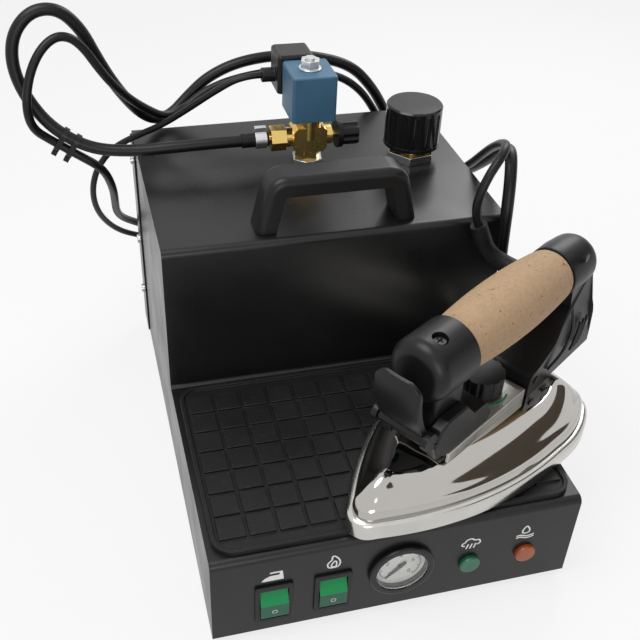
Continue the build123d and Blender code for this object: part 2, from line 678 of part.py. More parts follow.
with BuildPart() as valve_coil:
    with BuildSketch(Plane.XY.offset(coil_z0)):
        with Locations((valve_x, valve_y)):
            RectangleRounded(coil_w, coil_d, 2.5)
            Circle(coil_bore_r, mode=Mode.SUBTRACT)
    extrude(amount=coil_h)
    chamfer(valve_coil.edges().group_by(Axis.Z)[-1].sort_by(SortBy.LENGTH)[-4:], 0.8)
finish(valve_coil, "valve_coil")

with BuildPart() as coil_nut:
    with BuildSketch(Plane.XY.offset(coil_z0 + coil_h)):
        with Locations((valve_x, valve_y)):
            Circle(8.5)
            Circle(stud_r + running, mode=Mode.SUBTRACT)
    extrude(amount=washer_t)
    with BuildSketch(Plane.XY.offset(coil_z0 + coil_h + washer_t)):
        with Locations((valve_x, valve_y)):
            RegularPolygon(nut_af / 2, 6, major_radius=False, rotation=12)
            Circle(stud_r + running, mode=Mode.SUBTRACT)
    extrude(amount=nut_h)
finish(coil_nut, "coil_nut")

plug_y0 = valve_y + coil_d / 2
plug_x = valve_x + plug_shift
plug_z0 = coil_z0 + coil_h + 3 - plug_h
lead_gland_l, lead_exit_z = 10.0, plug_z0 + 11
lead_exit = (plug_x - plug_w / 2 - lead_gland_l, plug_y0 + plug_d / 2, lead_exit_z)
with BuildPart() as coil_plug:
    with BuildSketch(Plane.XY.offset(plug_z0)):
        with Locations((plug_x, plug_y0 + plug_d / 2)):
            RectangleRounded(plug_w, plug_d, 3)
    extrude(amount=plug_h)
    chamfer(coil_plug.edges().group_by(Axis.Z)[-1], 1.5)
    with BuildSketch(Plane(origin=lead_exit, z_dir=(1, 0, 0))):
        Circle(5.5)
    extrude(amount=lead_gland_l + 2)
finish(coil_plug, "coil_plug")

knob_x = valve_x + body_w / 2 + port_l + 4
with BuildPart() as regulator_spindle:
    with BuildSketch(port.offset(6)):
        Circle(spindle_r)
    extrude(amount=knob_x + 4 + knob_grip_l - valve_x - 6 - 2)
finish(regulator_spindle, "regulator_spindle")

with BuildPart() as regulator_knob:
    with BuildSketch(port.offset(knob_x - valve_x)):
        Circle(knob_disc_r)
    extrude(amount=4)
    with BuildSketch(port.offset(knob_x - valve_x + 4)):
        Circle(knob_grip_r)
        with PolarLocations(knob_grip_r + 1.2, 6):
            Circle(2.8, mode=Mode.SUBTRACT)
    extrude(amount=knob_grip_l)
    with BuildSketch(port.offset(knob_x - valve_x)):
        Circle(spindle_r)
    extrude(amount=2 + knob_grip_l, mode=Mode.SUBTRACT)
finish(regulator_knob, "regulator_knob")

port_end = valve_x - body_w / 2 - port_l
hose_start = port_end - barb_hex_l - barb_l
barb = Plane(origin=(port_end, valve_y, valve_z), x_dir=(0, 1, 0), z_dir=(-1, 0, 0))
with BuildPart() as hose_barb:
    with BuildSketch(barb):
        RegularPolygon(barb_hex_af / 2, 6, major_radius=False)
    extrude(amount=barb_hex_l)
    with BuildSketch(barb.offset(barb_hex_l)):
        Circle(barb_r)
    extrude(amount=barb_l)
    with BuildSketch(barb):
        Circle(2)
    extrude(amount=barb_hex_l + barb_l, mode=Mode.SUBTRACT)
finish(hose_barb, "hose_barb")

with BuildPart() as hose_sleeve:
    with BuildSketch(barb.offset(barb_hex_l + 1)):
        Circle(sleeve_r)
        Circle(barb_r + running, mode=Mode.SUBTRACT)
    extrude(amount=barb_l - 1)
finish(hose_sleeve, "hose_sleeve")

with BuildPart() as hose_clamp:
    with BuildSketch(barb.offset(barb_hex_l + 3)):
        Circle(sleeve_r + running + clamp_t)
        with Locations((0, -sleeve_r - 2.5)):
            Rectangle(4, 5)
        Circle(sleeve_r + running, mode=Mode.SUBTRACT)
    extrude(amount=clamp_w)
finish(hose_clamp, "hose_clamp")

# ---------------------------------------------------------------- iron
def sole_outline():
    """The sole's outline, nose at the origin, in the plane of the sketch that is open."""
    with BuildLine() as edge:
        ThreePointArc((nose_l, -nose_half), (0, 0), (nose_l, nose_half))
        for way in (-1, 1):
            ThreePointArc((nose_l, way * nose_half), (60, way * 42.5), (waist_l, way * sole_half))
            ThreePointArc((waist_l, way * sole_half), (182, way * 57.5), (heel_l, way * heel_half))
        ThreePointArc((heel_l, -heel_half), (sole_l, 0), (heel_l, heel_half))
    make_face(edge.edges())


with BuildPart() as soleplate:
    with BuildSketch(iron):
        sole_outline()
    extrude(amount=sole_t - 3)
    with BuildSketch(iron.offset(sole_t - 3)):
        sole_outline()
        offset(amount=-sole_lip, mode=Mode.REPLACE)
    extrude(amount=3)
finish(soleplate, "soleplate")

cover_z = sole_t
with BuildPart() as iron_cover:
    with BuildSketch(iron.offset(cover_z)):
        sole_outline()
        offset(amount=-cover_in, mode=Mode.REPLACE)
    extrude(amount=cover_skirt, taper=14)
    with BuildSketch(iron.offset(cover_z)):
        sole_outline()
        offset(amount=-cover_step, mode=Mode.REPLACE)
    extrude(amount=cover_top - cover_z, taper=12)
    with BuildSketch(iron.offset(cover_z)):
        sole_outline()
        offset(amount=-cover_in - cover_wall, mode=Mode.REPLACE)
    extrude(amount=cover_skirt - cover_wall, taper=14, mode=Mode.SUBTRACT)
    with BuildSketch(iron.offset(cover_z)):
        sole_outline()
        offset(amount=-cover_step - cover_wall, mode=Mode.REPLACE)
    extrude(amount=cover_top - cover_z - cover_wall, taper=12, mode=Mode.SUBTRACT)
    with BuildSketch(iron.offset(cover_z)):
        with Locations((dial_u, 0)):
            Circle(dial_spindle_r + 1)
    extrude(amount=cover_top, mode=Mode.SUBTRACT)
finish(iron_cover, "iron_cover")

with BuildPart() as sole_heater:
    heater_w = sole_t + element_r + 0.1
    with BuildLine() as heater_line:
        FilletPolyline(
            on_iron(180, -26, heater_w), on_iron(84, -20, heater_w), on_iron(52, 0, heater_w),
            on_iron(84, 20, heater_w), on_iron(180, 26, heater_w), radius=12,
        )
    with BuildSketch(Plane(origin=heater_line.line @ 0, z_dir=heater_line.line % 0)):
        Circle(element_r)
    sweep()
finish(sole_heater, "sole_heater")

with BuildPart() as iron_thermostat:
    with BuildSketch(iron.offset(sole_t)):
        with Locations((dial_u, 0)):
            Circle(13)
    extrude(amount=cover_top - cover_wall - sole_t - 4)
finish(iron_thermostat, "iron_thermostat")

with BuildPart() as handle_bracket:
    plate_mid = (plate_u0 + plate_u1) / 2
    with BuildSketch(iron.offset(cover_top)):
        with Locations((plate_mid, 0)):
            Rectangle(plate_u1 - plate_u0, 2 * plate_half)
    extrude(amount=plate_top - cover_top)
    with BuildSketch(iron.offset(cover_top)):
        with Locations((plate_mid, 0)):
            Rectangle(plate_u1 - plate_u0 + 2, 2 * (plate_half - plate_wall))
    extrude(amount=plate_top - cover_top - plate_wall, mode=Mode.SUBTRACT)
    with BuildSketch(iron.offset(cover_top)):
        with Locations((dial_u, 0)):
            Circle(dial_spindle_r + 0.5)
    extrude(amount=plate_top, mode=Mode.SUBTRACT)
finish(handle_bracket, "handle_bracket")

dial_w = plate_top + 1.5
with BuildPart() as thermostat_knob:
    with BuildSketch(iron.offset(cover_top - cover_wall - 3)):
        with Locations((dial_u, 0)):
            Circle(dial_spindle_r)
    extrude(amount=dial_w + 2 - cover_top + cover_wall + 3)
    with BuildSketch(iron.offset(dial_w)):
        with Locations((dial_u, 0)):
            Circle(dial_r)
            with PolarLocations(dial_r + 1.2, 12):
                Circle(2.2, mode=Mode.SUBTRACT)
    extrude(amount=dial_h)
finish(thermostat_knob, "thermostat_knob")

pivot_across = Plane(origin=on_iron(trigger_u, 0, trigger_w), x_dir=(ux, uy, 0), z_dir=(uy, -ux, 0))
with BuildPart() as microswitch_case:
    with BuildSketch(iron_side.offset(-switch_half)):
        with BuildLine():
            Polyline(
                (switch_u0, switch_top), (switch_u0 + 12, plate_top), (switch_u1 - 4, plate_top),
                (switch_u1, plate_top + 6), (switch_u1 - 8, switch_top), close=True,
            )
        make_face()
    extrude(amount=2 * switch_half)
    for way in (-1, 1):
        with BuildSketch(pivot_across.offset(way * (trigger_half + 0.3) + (way - 1) / 2 * 4)):
            Circle(6)
            with Locations((8, -3)):
                Rectangle(12, 8)
        extrude(amount=4)
    with BuildSketch(pivot_across.offset(-trigger_half - 4)):
        Circle(trigger_pin_r)
    extrude(amount=2 * trigger_half + 8)
finish(microswitch_case, "microswitch_case")

with BuildPart() as trigger:
    with BuildSketch(pivot_across.offset(-trigger_half)):
        with BuildLine():
            ThreePointArc((-2, 3), (-14, 22), (-12, 48))
            Line((-12, 48), (-7, 47))
            ThreePointArc((-7, 47), (-9, 24), (4, 2))
            Line((4, 2), (-2, 3))
        make_face()
        Circle(4.6)
        Circle(trigger_pin_r + running, mode=Mode.SUBTRACT)
    extrude(amount=2 * trigger_half)
finish(trigger, "trigger")

with BuildPart() as front_cap:
    with BuildSketch(iron_across(front_u0, grip_w)):
        Circle(front_r)
    extrude(amount=grip_u0 - front_u0)
    fillet(front_cap.edges().sort_by(Axis(on_iron(0, 0, grip_w), (ux, uy, 0)))[0], 9)
    with BuildSketch(iron.offset(switch_top)):
        with Locations(((front_u0 + grip_u0) / 2 + 4, 0)):
            RectangleRounded(grip_u0 - front_u0 - 8, 28, 4)
    extrude(amount=grip_w - switch_top)
    with BuildSketch(iron_across(front_u0 + 12, grip_w)):
        Circle(rod_r)
    extrude(amount=grip_u0, mode=Mode.SUBTRACT)
    with BuildSketch(iron.offset(grip_w + front_r)):
        with Locations((front_u0 + 17, -4)):
            Circle(5.2)
    extrude(amount=-5, mode=Mode.SUBTRACT)
finish(front_cap, "front_cap")

with BuildPart() as handle_rod:
    with BuildSketch(iron_across(front_u0 + 12, grip_w)):
        Circle(rod_r - 0.05)
    extrude(amount=grip_u1 + 12 - front_u0 - 12)
finish(handle_rod, "handle_rod")

with BuildPart() as cork_grip:
    with BuildSketch(iron_side):
        with BuildLine():
            mid_u = (grip_u0 + grip_u1) / 2
            ThreePointArc(
                (grip_u0, grip_w + grip_end_r), (mid_u, grip_w + grip_mid_r), (grip_u1, grip_w + grip_end_r),
            )
            Polyline(
                (grip_u1, grip_w + grip_end_r), (grip_u1, grip_w + rod_r), (grip_u0, grip_w + rod_r),
                (grip_u0, grip_w + grip_end_r),
            )
        make_face()
    revolve(axis=Axis(on_iron(0, 0, grip_w), (ux, uy, 0)))
finish(cork_grip, "cork_grip")


def housing_outline(inset):
    """Side profile of the rear housing, drawn a wall inside its outer faces when it is hollowed."""
    foot = cover_top + 0.3 + inset
    with BuildLine() as edge:
        Polyline(
            (housing_u0 + inset, foot), (housing_u0 + inset, 52 - inset), (172 + inset, 60),
            (190 + inset, 78), (grip_u1 + inset, 84), (grip_u1 + inset, housing_top - inset),
            (226 - inset / 2, housing_top - inset), (housing_u1 - inset, 112), (231 - inset, 84),
            (housing_u1 + 2 - inset, 52), (housing_u1 + 2 - inset, foot), close=True,
        )
    make_face(edge.edges())


def housing_half_shell(keep):
    """One of the rear housing's two half shells, parted along the iron's middle plane."""
    with BuildPart() as shell:
        with BuildSketch(iron_side.offset(-housing_half)):
            housing_outline(0)
        extrude(amount=2 * housing_half)
        chamfer(shell.faces().sort_by(Axis((0, 0, 0), (uy, -ux, 0)))[-1].edges(), 3)
        chamfer(shell.faces().sort_by(Axis((0, 0, 0), (uy, -ux, 0)))[0].edges(), 3)
        with BuildSketch(iron_side.offset(-housing_half + housing_wall)):
            housing_outline(housing_wall)
        extrude(amount=2 * (housing_half - housing_wall), mode=Mode.SUBTRACT)
        with BuildSketch(iron_across(grip_u1 - 1, grip_w)):
            Circle(rod_r)
        extrude(amount=housing_wall + 2, mode=Mode.SUBTRACT)
        split(bisect_by=iron_side, keep=keep)
    return shell


rear_housing_right = housing_half_shell(Keep.TOP)
finish(rear_housing_right, "rear_housing_right")
hose_dir = Vector(-0.75 * uy, 0.75 * ux, 0.66).normalized()
hose_seat = Vector(*on_iron(214, housing_half, 58))
socket_l = 12.0
with BuildPart() as rear_housing_left:
    add(housing_half_shell(Keep.BOTTOM).part)
    with BuildSketch(Plane(origin=hose_seat - hose_dir * 5, z_dir=hose_dir)):
        Circle(hose_d / 2 + 3)
    extrude(amount=socket_l + 5)
finish(rear_housing_left, "rear_housing_left")

cap_screw_w = grip_w + front_r - 5
with BuildPart() as iron_screws:
    for u, w in ((212, 118), (160, 46), (224, 60)):
        head = Plane(origin=on_iron(u, -housing_half, w), z_dir=(uy, -ux, 0))
        with BuildSketch(head):
            Circle(3)
        extrude(amount=0.8)
    with BuildSketch(iron.offset(cap_screw_w)):
        with Locations((front_u0 + 17, -4)):
            Circle(4)
    extrude(amount=2.5)
    with BuildSketch(iron.offset(cap_screw_w + 1.2)):
        with Locations((front_u0 + 17, -4)):
            Rectangle(5, 1)
            Rectangle(1, 5)
    extrude(amount=2, mode=Mode.SUBTRACT)
finish(iron_screws, "iron_screws")

# ---------------------------------------------------------------- bend guard and cords
guard_out = [on_iron(207, housing_half - 3, 88), (117, 143, 171), (104, 151.5, 179), (97.5, 153, 196)]
with BuildPart() as bend_guard:
    with BuildLine() as guard_line:
        FilletPolyline(*guard_out, radius=[24, 19])
    with BuildSketch(Plane(origin=guard_line.line @ 0, z_dir=guard_line.line % 0)):
        Circle(guard_r)
    sweep()
    split(bisect_by=iron_side.offset(-housing_half), keep=Keep.BOTTOM)
    with BuildSketch(Plane(origin=guard_line.line @ 1, z_dir=guard_line.line % 1)):
        Circle(guard_collar_r)
    extrude(amount=guard_collar_l)
finish(bend_guard, "bend_guard")
guard_dir = guard_line.line % 1
cable_end = guard_line.line @ 1 + guard_dir * guard_collar_l
hose_end = hose_seat + hose_dir * socket_l


def cord_radii(route):
    """Corner radii of a cord's route: 0.45 of the shorter run over the tangent of half the turn."""
    runs = [Vector(*b) - Vector(*a) for a, b in zip(route, route[1:])]
    radii = []
    for before, after in zip(runs, runs[1:]):
        turn = radians(before.get_angle(after))
        radii.append(0.45 * min(before.length, after.length) / tan(turn / 2))
    return radii


def cord(route, diameter, label):
    """A cord's plain tube: straight runs joined by tangent arcs."""
    radii = cord_radii(route)
    with BuildPart() as tube:
        with BuildLine() as line:
            FilletPolyline(*route, radius=radii)
        with BuildSketch(Plane(origin=line.line @ 0, z_dir=line.line % 0)):
            Circle(diameter / 2)
        sweep()
    length = sum(edge.length for edge in line.edges())
    share = tube.part.volume / (pi * diameter ** 2 / 4 * length)
    print(label, "length", round(length, 1), "volume share", round(share, 4))
    print("  radii", [round(r, 1) for r in radii])
    runs = [round((Vector(*b) - Vector(*a)).length) for a, b in zip(route, route[1:])]
    print("  runs", runs)
    finish(tube, label)


hose_route = [
    (hose_start, valve_y, valve_z), (-70, valve_y, valve_z), (-100, 281, 216), (-131, 284, 214),
    (-161, 288, 217), (-186, 294, 233), (-201, 299, 256), (-207, 303, 279), (-203, 306, 300),
    (-189, 309, 314), (-171, 311, 314), (-157, 314, 298), (-148, 318, 275), (-138, 325, 252),
    (-126, 335, 230), (-115, 347, 213), (-103, 358, 203), (-90, 365, 204), (-76, 370, 216),
    (-59, 371, 231), (-34, 371, 242), (-2, 371, 246), (32, 371, 243), (64, 371, 233), (84, 372, 212),
    (98, 375, 189), (108, 379, 168), (121, 381, 151), (138, 374, 141), (147, 356, 138),
    (147, 328, 146), (145, 300, 161), (143, 272, 180), (141.5, 246, 201), (139, 222, 220),
    (134.5, 202, 233), (129, 186, 236), (124.5, 173, 225), (121.5, 164.5, 205), (120.5, 161, 184),
    tuple(hose_end + hose_dir * 20), tuple(hose_end),
]
gland_end = cover_y + cover_t + gland_l
cable_route = [
    (gland_xs[0], gland_end, base_z + gland_z), (gland_xs[0], 381, 72), (-97, 391, 73), (-109, 397, 77),
    (-125, 393, 87), (-138, 379, 102), (-143.5, 357, 122), (-144.5, 334, 147), (-146, 313, 169),
    (-150, 298, 189), (-156, 289, 202), (-168.3, 289.7, 210.9), (-187, 294.2, 222.9), (-199, 290, 235),
    (-201, 286, 253), (-197, 291, 272), (-188, 298, 288), (-176, 303, 297), (-165, 305, 295.5),
    (-156, 306, 286), (-148.5, 307, 272), (-139, 311, 256), (-126, 320, 239), (-113, 333, 224),
    (-99, 345, 211), (-82, 356, 211), (-64, 361, 223), (-42, 362, 231), (-12, 362, 236),
    (22, 362, 235), (52, 362, 228), (72, 363, 213), (87, 366, 191), (98, 368, 170), (110, 370, 153),
    (125, 367.5, 142), (135.5, 354, 137), (136, 331, 142), (134.5, 305, 156), (133, 279, 174),
    (132, 254, 194), (130, 232, 214), (127, 212, 230), (123, 192, 243), (118, 174, 251),
    (109, 162, 249), (99.5, 157, 239), (93.5, 155, 225), tuple(cable_end + guard_dir * 10),
    tuple(cable_end),
]
lead_route = [
    lead_exit, (lead_exit[0] - 15.5, lead_exit[1], lead_exit_z), (-62, 315, 243), (-83, 321, 227),
    (-104, 327, 212), (-124, 331, 203), (-142, 332, 194), (-155, 334, 178), (-161, 341, 157),
    (-161, 353, 133), (-155, 368, 109), (-142, 384, 86), (-123, 397, 70), (-101, 403, 62),
    (-83, 401, 62), (-71, 393, 67), (gland_xs[1], 383, 72), (gland_xs[1], gland_end, base_z + gland_z),
]
cord(hose_route, hose_d, "steam_hose")
cord(cable_route, cable_d, "iron_cable")
cord(lead_route, lead_d, "valve_cable")

tie_t, tie_w, tie_gap = 1.2, 4.0, 0.3
run_a, run_b = Vector(*hose_route[4]), Vector(*hose_route[5])
run_dir = (run_b - run_a).normalized()
near_a, near_b = Vector(*cable_route[11]), Vector(*cable_route[12])
with BuildPart() as cable_ties:
    for share in (0.34, 0.66):
        middle = run_a + (run_b - run_a) * share
        reach = (middle - near_a).dot(run_dir) / (near_b - near_a).dot(run_dir)
        beside = near_a + (near_b - near_a) * reach
        seat = Plane(origin=middle - run_dir * (tie_w / 2), x_dir=beside - middle, z_dir=run_dir)
        gap = (beside - middle).length
        with BuildSketch(seat):
            with BuildSketch(mode=Mode.PRIVATE) as rings:
                Circle(hose_d / 2 + tie_gap + tie_t)
                with Locations((gap, 0)):
                    Circle(cable_d / 2 + 2 * tie_gap + tie_t)
            make_hull(rings.edges())
            with BuildSketch(mode=Mode.PRIVATE) as holes:
                Circle(hose_d / 2 + tie_gap)
                with Locations((gap, 0)):
                    Circle(cable_d / 2 + 2 * tie_gap)
            make_hull(holes.edges(), mode=Mode.SUBTRACT)
            with Locations((gap + cable_d / 2 + 2 * tie_gap + tie_t + 1.8, 0)):
                Rectangle(4, 5)
        extrude(amount=tie_w)
finish(cable_ties, "cable_ties")

# ---------------------------------------------------------------- frame and files
cord_names = ("steam_hose", "iron_cable", "valve_cable", "cable_ties")
boxes = [piece.part.bounding_box() for piece in pieces if piece.part.label not in cord_names]
low_x, high_x = min(box.min.X for box in boxes), max(box.max.X for box in boxes)
low_y, high_y = min(box.min.Y for box in boxes), max(box.max.Y for box in boxes)
low_z, high_z = min(box.min.Z for box in boxes), max(box.max.Z for box in boxes)
shift = Vector(-(low_x + high_x) / 2, -(low_y + high_y) / 2, -low_z)
print("shift", round(shift.X, 4), round(shift.Y, 4), round(shift.Z, 4))
print("size", round(high_x - low_x, 1), round(high_y - low_y, 1), round(high_z - low_z, 1))
os.makedirs("parts", exist_ok=True)
for piece in pieces:
    placed = piece.part.translate(shift)
    placed.label = piece.part.label
    export_step(placed, "parts/" + placed.label + ".step")
print(len(pieces), "pieces")
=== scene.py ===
"""Looks of a steam generator iron: its black cabinet, its steam valve and its chrome-covered iron,
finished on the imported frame.  The design's own millimetres are turned into the frame's metres by at()."""

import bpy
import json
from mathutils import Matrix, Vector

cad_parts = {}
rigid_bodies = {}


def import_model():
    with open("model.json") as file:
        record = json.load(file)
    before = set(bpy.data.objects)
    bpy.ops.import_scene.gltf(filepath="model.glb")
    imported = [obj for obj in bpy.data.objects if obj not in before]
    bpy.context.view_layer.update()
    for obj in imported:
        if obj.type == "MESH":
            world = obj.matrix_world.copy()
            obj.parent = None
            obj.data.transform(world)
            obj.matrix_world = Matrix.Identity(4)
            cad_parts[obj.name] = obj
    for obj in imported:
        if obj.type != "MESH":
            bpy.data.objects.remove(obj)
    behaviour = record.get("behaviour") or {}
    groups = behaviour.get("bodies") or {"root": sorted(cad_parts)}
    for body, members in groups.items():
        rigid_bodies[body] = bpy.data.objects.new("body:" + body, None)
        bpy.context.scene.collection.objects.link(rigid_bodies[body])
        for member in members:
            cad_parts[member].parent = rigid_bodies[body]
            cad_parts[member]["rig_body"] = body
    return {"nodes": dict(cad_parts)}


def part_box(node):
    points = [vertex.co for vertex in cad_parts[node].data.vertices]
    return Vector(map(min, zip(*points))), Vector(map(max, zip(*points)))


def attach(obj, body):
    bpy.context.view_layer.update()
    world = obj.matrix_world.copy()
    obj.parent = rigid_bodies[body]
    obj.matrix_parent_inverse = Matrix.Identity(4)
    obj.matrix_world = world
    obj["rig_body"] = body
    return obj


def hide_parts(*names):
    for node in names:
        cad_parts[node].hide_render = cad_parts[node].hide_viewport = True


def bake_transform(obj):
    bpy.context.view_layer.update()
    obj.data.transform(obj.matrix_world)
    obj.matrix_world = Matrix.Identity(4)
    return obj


bl_info = {
    "name": "Steam Generator Iron",
    "version": (1, 0, 0),
    "blender": (4, 5, 0),
    "location": "View3D > Sidebar > Steam Iron",
    "description": "Finishes a steam generator and its iron on a fixed frame",
    "category": "Object",
}

import json
from math import cos, pi, radians, sin

import bmesh
import bpy
from bpy.props import FloatProperty, FloatVectorProperty, IntProperty, PointerProperty
from mathutils import Matrix, Vector

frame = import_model()
MM = 0.001

# ---------------------------------------------------------------- places, worked out from the frame
shell_low, shell_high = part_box("cabinet_shell")
foot_height = 6.0
origin = Vector(((shell_low.x + shell_high.x) / 2, shell_low.y, shell_low.z - foot_height * MM))
iron_turn = radians(32.5)
iron_nose = Vector((-35.3, 0.8, 82.0))
along_iron = Vector((cos(iron_turn), sin(iron_turn), 0))
across_iron = Vector((-sin(iron_turn), cos(iron_turn), 0))


def at(x, y, z):
    """A place in the design's millimetres, as a point of the frame in metres."""
    return origin + Vector((x, y, z)) * MM


def on_iron(u, v, w):
    """A place in the design's millimetres from the iron's own: along it, across it and up."""
    return iron_nose + along_iron * u + across_iron * v + Vector((0, 0, w))


def iron_place(u=0.0, v=0.0, w=0.0):
    """The matrix that puts a mesh made in the iron's own millimetres into the frame."""
    turn = Matrix.Rotation(iron_turn, 4, "Z")
    return Matrix.Translation(at(*on_iron(u, v, w))) @ turn @ Matrix.Scale(MM, 4)


def panel_place(x, y, z, lean=0.0):
    """The matrix that stands a flat mesh, drawn in millimetres, up against the front panel."""
    turn = Matrix.Rotation(pi / 2 + lean, 4, "X")
    return Matrix.Translation(at(x, y, z)) @ turn @ Matrix.Scale(MM, 4)


# ---------------------------------------------------------------- settings
def colour(label, value):
    """A colour that the user may change."""
    return FloatVectorProperty(name=label, description=label, subtype="COLOR", default=value, min=0, max=1)


class FinishSettings(bpy.types.PropertyGroup):
    """Colours of the painted, moulded and metal parts."""
    paint: colour("Cabinet paint", (0.0075, 0.0075, 0.0077))
    rubber: colour("Rubber", (0.007, 0.007, 0.0072))
    plastic: colour("Black plastic", (0.0075, 0.0075, 0.008))
    cord: colour("Cord covering", (0.005, 0.005, 0.0052))
    coil: colour("Coil", (0.036, 0.112, 0.19))
    brass: colour("Brass", (0.70, 0.50, 0.16))
    zinc: colour("Zinc plating", (0.60, 0.61, 0.62))
    chrome: colour("Chrome", (0.47, 0.455, 0.43))
    sole: colour("Soleplate", (0.56, 0.55, 0.52))
    plate: colour("Bracket plate", (0.63, 0.62, 0.59))
    cork: colour("Cork", (0.41, 0.275, 0.16))
    # The rockers' two greens are painted light and shade: the lighter green stands for the light on the
    # upper half, which faces up, and the darker green for the shade on the lower half.
    rocker: colour("Lit rocker", (0.001, 0.27, 0.075))
    rocker_off: colour("Unlit rocker half", (0.008, 0.10, 0.05))
    green: colour("Green lens", (0.008, 0.13, 0.06))
    orange: colour("Orange lens", (0.30, 0.058, 0.006))
    print_white: colour("Printing", (0.80, 0.80, 0.79))


class DetailSettings(bpy.types.PropertyGroup):
    """Sizes of the details that finish the parts, in millimetres."""
    sheet_edge: FloatProperty(name="Sheet edge", description="Rounding of sheet edges", default=0.35)
    plastic_edge: FloatProperty(name="Moulded edge", description="Rounding of moulded edges", default=0.6)
    metal_edge: FloatProperty(name="Metal edge", description="Rounding of turned and cut metal", default=0.3)
    print_line: FloatProperty(name="Print line", description="Width of a printed line", default=0.95)
    cork_ends: FloatProperty(name="Cork ends", description="Rounding of the grip's ends", default=3.0)
    rim: FloatProperty(name="Housing rim", description="Rounding of the rear housing's sides", default=6.0)
    grip_sides: IntProperty(name="Grip steps", description="Steps round the cork grip", default=72)


def finishes():
    """The colours in use."""
    return bpy.context.scene.steam_iron_finishes


def details():
    """The detail sizes in use."""
    return bpy.context.scene.steam_iron_details


# ---------------------------------------------------------------- shared effects
def effect(name, inputs, outputs):
    """A new shader node group with named inputs and outputs."""
    tree = bpy.data.node_groups.new(name, "ShaderNodeTree")
    for label, kind, value in inputs:
        socket = tree.interface.new_socket(name=label, in_out="INPUT", socket_type=kind)
        socket.default_value = value
    for label, kind in outputs:
        tree.interface.new_socket(name=label, in_out="OUTPUT", socket_type=kind)
    return tree, tree.nodes.new("NodeGroupInput"), tree.nodes.new("NodeGroupOutput")


def feed(tree, value, socket):
    """A link or a plain value into a socket."""
    if isinstance(value, bpy.types.NodeSocket):
        tree.links.new(value, socket)
    else:
        socket.default_value = value


def ramp_between(tree, value, low=0.0, high=1.0, start=0.3, stop=0.7):
    """A value that runs from start to stop, stretched to run from low to high."""
    stretch = tree.nodes.new("ShaderNodeMapRange")
    given = {"Value": value, "From Min": start, "From Max": stop, "To Min": low, "To Max": high}
    for label, amount in given.items():
        feed(tree, amount, stretch.inputs[label])
    return stretch.outputs["Result"]


def maths(tree, operation, first, second):
    """One sum on two values."""
    node = tree.nodes.new("ShaderNodeMath")
    node.operation = operation
    feed(tree, first, node.inputs[0])
    feed(tree, second, node.inputs[1])
    return node.outputs[0]


def scaled(tree, colour_socket, amount):
    """A colour made darker or lighter by an amount."""
    node = tree.nodes.new("ShaderNodeVectorMath")
    node.operation = "SCALE"
    tree.links.new(colour_socket, node.inputs[0])
    tree.links.new(amount, node.inputs["Scale"])
    return node.outputs["Vector"]


def mixed(tree, share, first, second):
    """Two colours mixed by a share."""
    node = tree.nodes.new("ShaderNodeMix")
    node.data_type = "RGBA"
    feed(tree, share, node.inputs["Factor"])
    feed(tree, first, node.inputs["A"])
    feed(tree, second, node.inputs["B"])
    return node.outputs["Result"]


def object_place(tree):
    """The surface's place on its own object."""
    return tree.nodes.new("ShaderNodeTexCoord").outputs["Object"]


def noise(tree, scale, place, detail=3.0):
    """A noise texture on the given coordinates."""
    texture = tree.nodes.new("ShaderNodeTexNoise")
    texture.inputs["Detail"].default_value = detail
    tree.links.new(place, texture.inputs["Vector"])
    feed(tree, scale, texture.inputs["Scale"])
    return texture.outputs["Fac"]


def grain_effect():
    """Fine moulded or sprayed grain: a height, and a roughness that drifts over the surface."""
    found = bpy.data.node_groups.get("surface_grain")
    if found:
        return found
    tree, entry, result = effect(
        "surface_grain",
        [("Grain Scale", "NodeSocketFloat", 900.0), ("Smooth", "NodeSocketFloat", 0.3),
         ("Rough", "NodeSocketFloat", 0.5)],
        [("Roughness", "NodeSocketFloat"), ("Height", "NodeSocketFloat")],
    )
    place = object_place(tree)
    tree.links.new(noise(tree, entry.outputs["Grain Scale"], place), result.inputs["Height"])
    patches = noise(tree, 26.0, place, 5.0)
    drift = ramp_between(tree, patches, entry.outputs["Smooth"], entry.outputs["Rough"])
    tree.links.new(drift, result.inputs["Roughness"])
    return tree


def brushed_effect():
    """Fine lines that run one way, from brushing or turning."""
    found = bpy.data.node_groups.get("brushed_lines")
    if found:
        return found
    tree, entry, result = effect(
        "brushed_lines",
        [("Stretch", "NodeSocketVector", (1.0, 1.0, 1.0)), ("Turn", "NodeSocketFloat", 0.0),
         ("Smooth", "NodeSocketFloat", 0.2), ("Rough", "NodeSocketFloat", 0.4)],
        [("Roughness", "NodeSocketFloat"), ("Height", "NodeSocketFloat")],
    )
    place = object_place(tree)
    turn = tree.nodes.new("ShaderNodeVectorRotate")
    turn.rotation_type = "Z_AXIS"
    tree.links.new(place, turn.inputs["Vector"])
    tree.links.new(entry.outputs["Turn"], turn.inputs["Angle"])
    stretch = tree.nodes.new("ShaderNodeVectorMath")
    stretch.operation = "MULTIPLY"
    tree.links.new(turn.outputs["Vector"], stretch.inputs[0])
    tree.links.new(entry.outputs["Stretch"], stretch.inputs[1])
    lines = noise(tree, 60.0, stretch.outputs["Vector"], 6.0)
    tree.links.new(lines, result.inputs["Height"])
    drift = ramp_between(tree, lines, entry.outputs["Smooth"], entry.outputs["Rough"])
    tree.links.new(drift, result.inputs["Roughness"])
    return tree


dust_colour = (0.45, 0.43, 0.40, 1)
pit_colour = (0.13, 0.065, 0.03, 1)


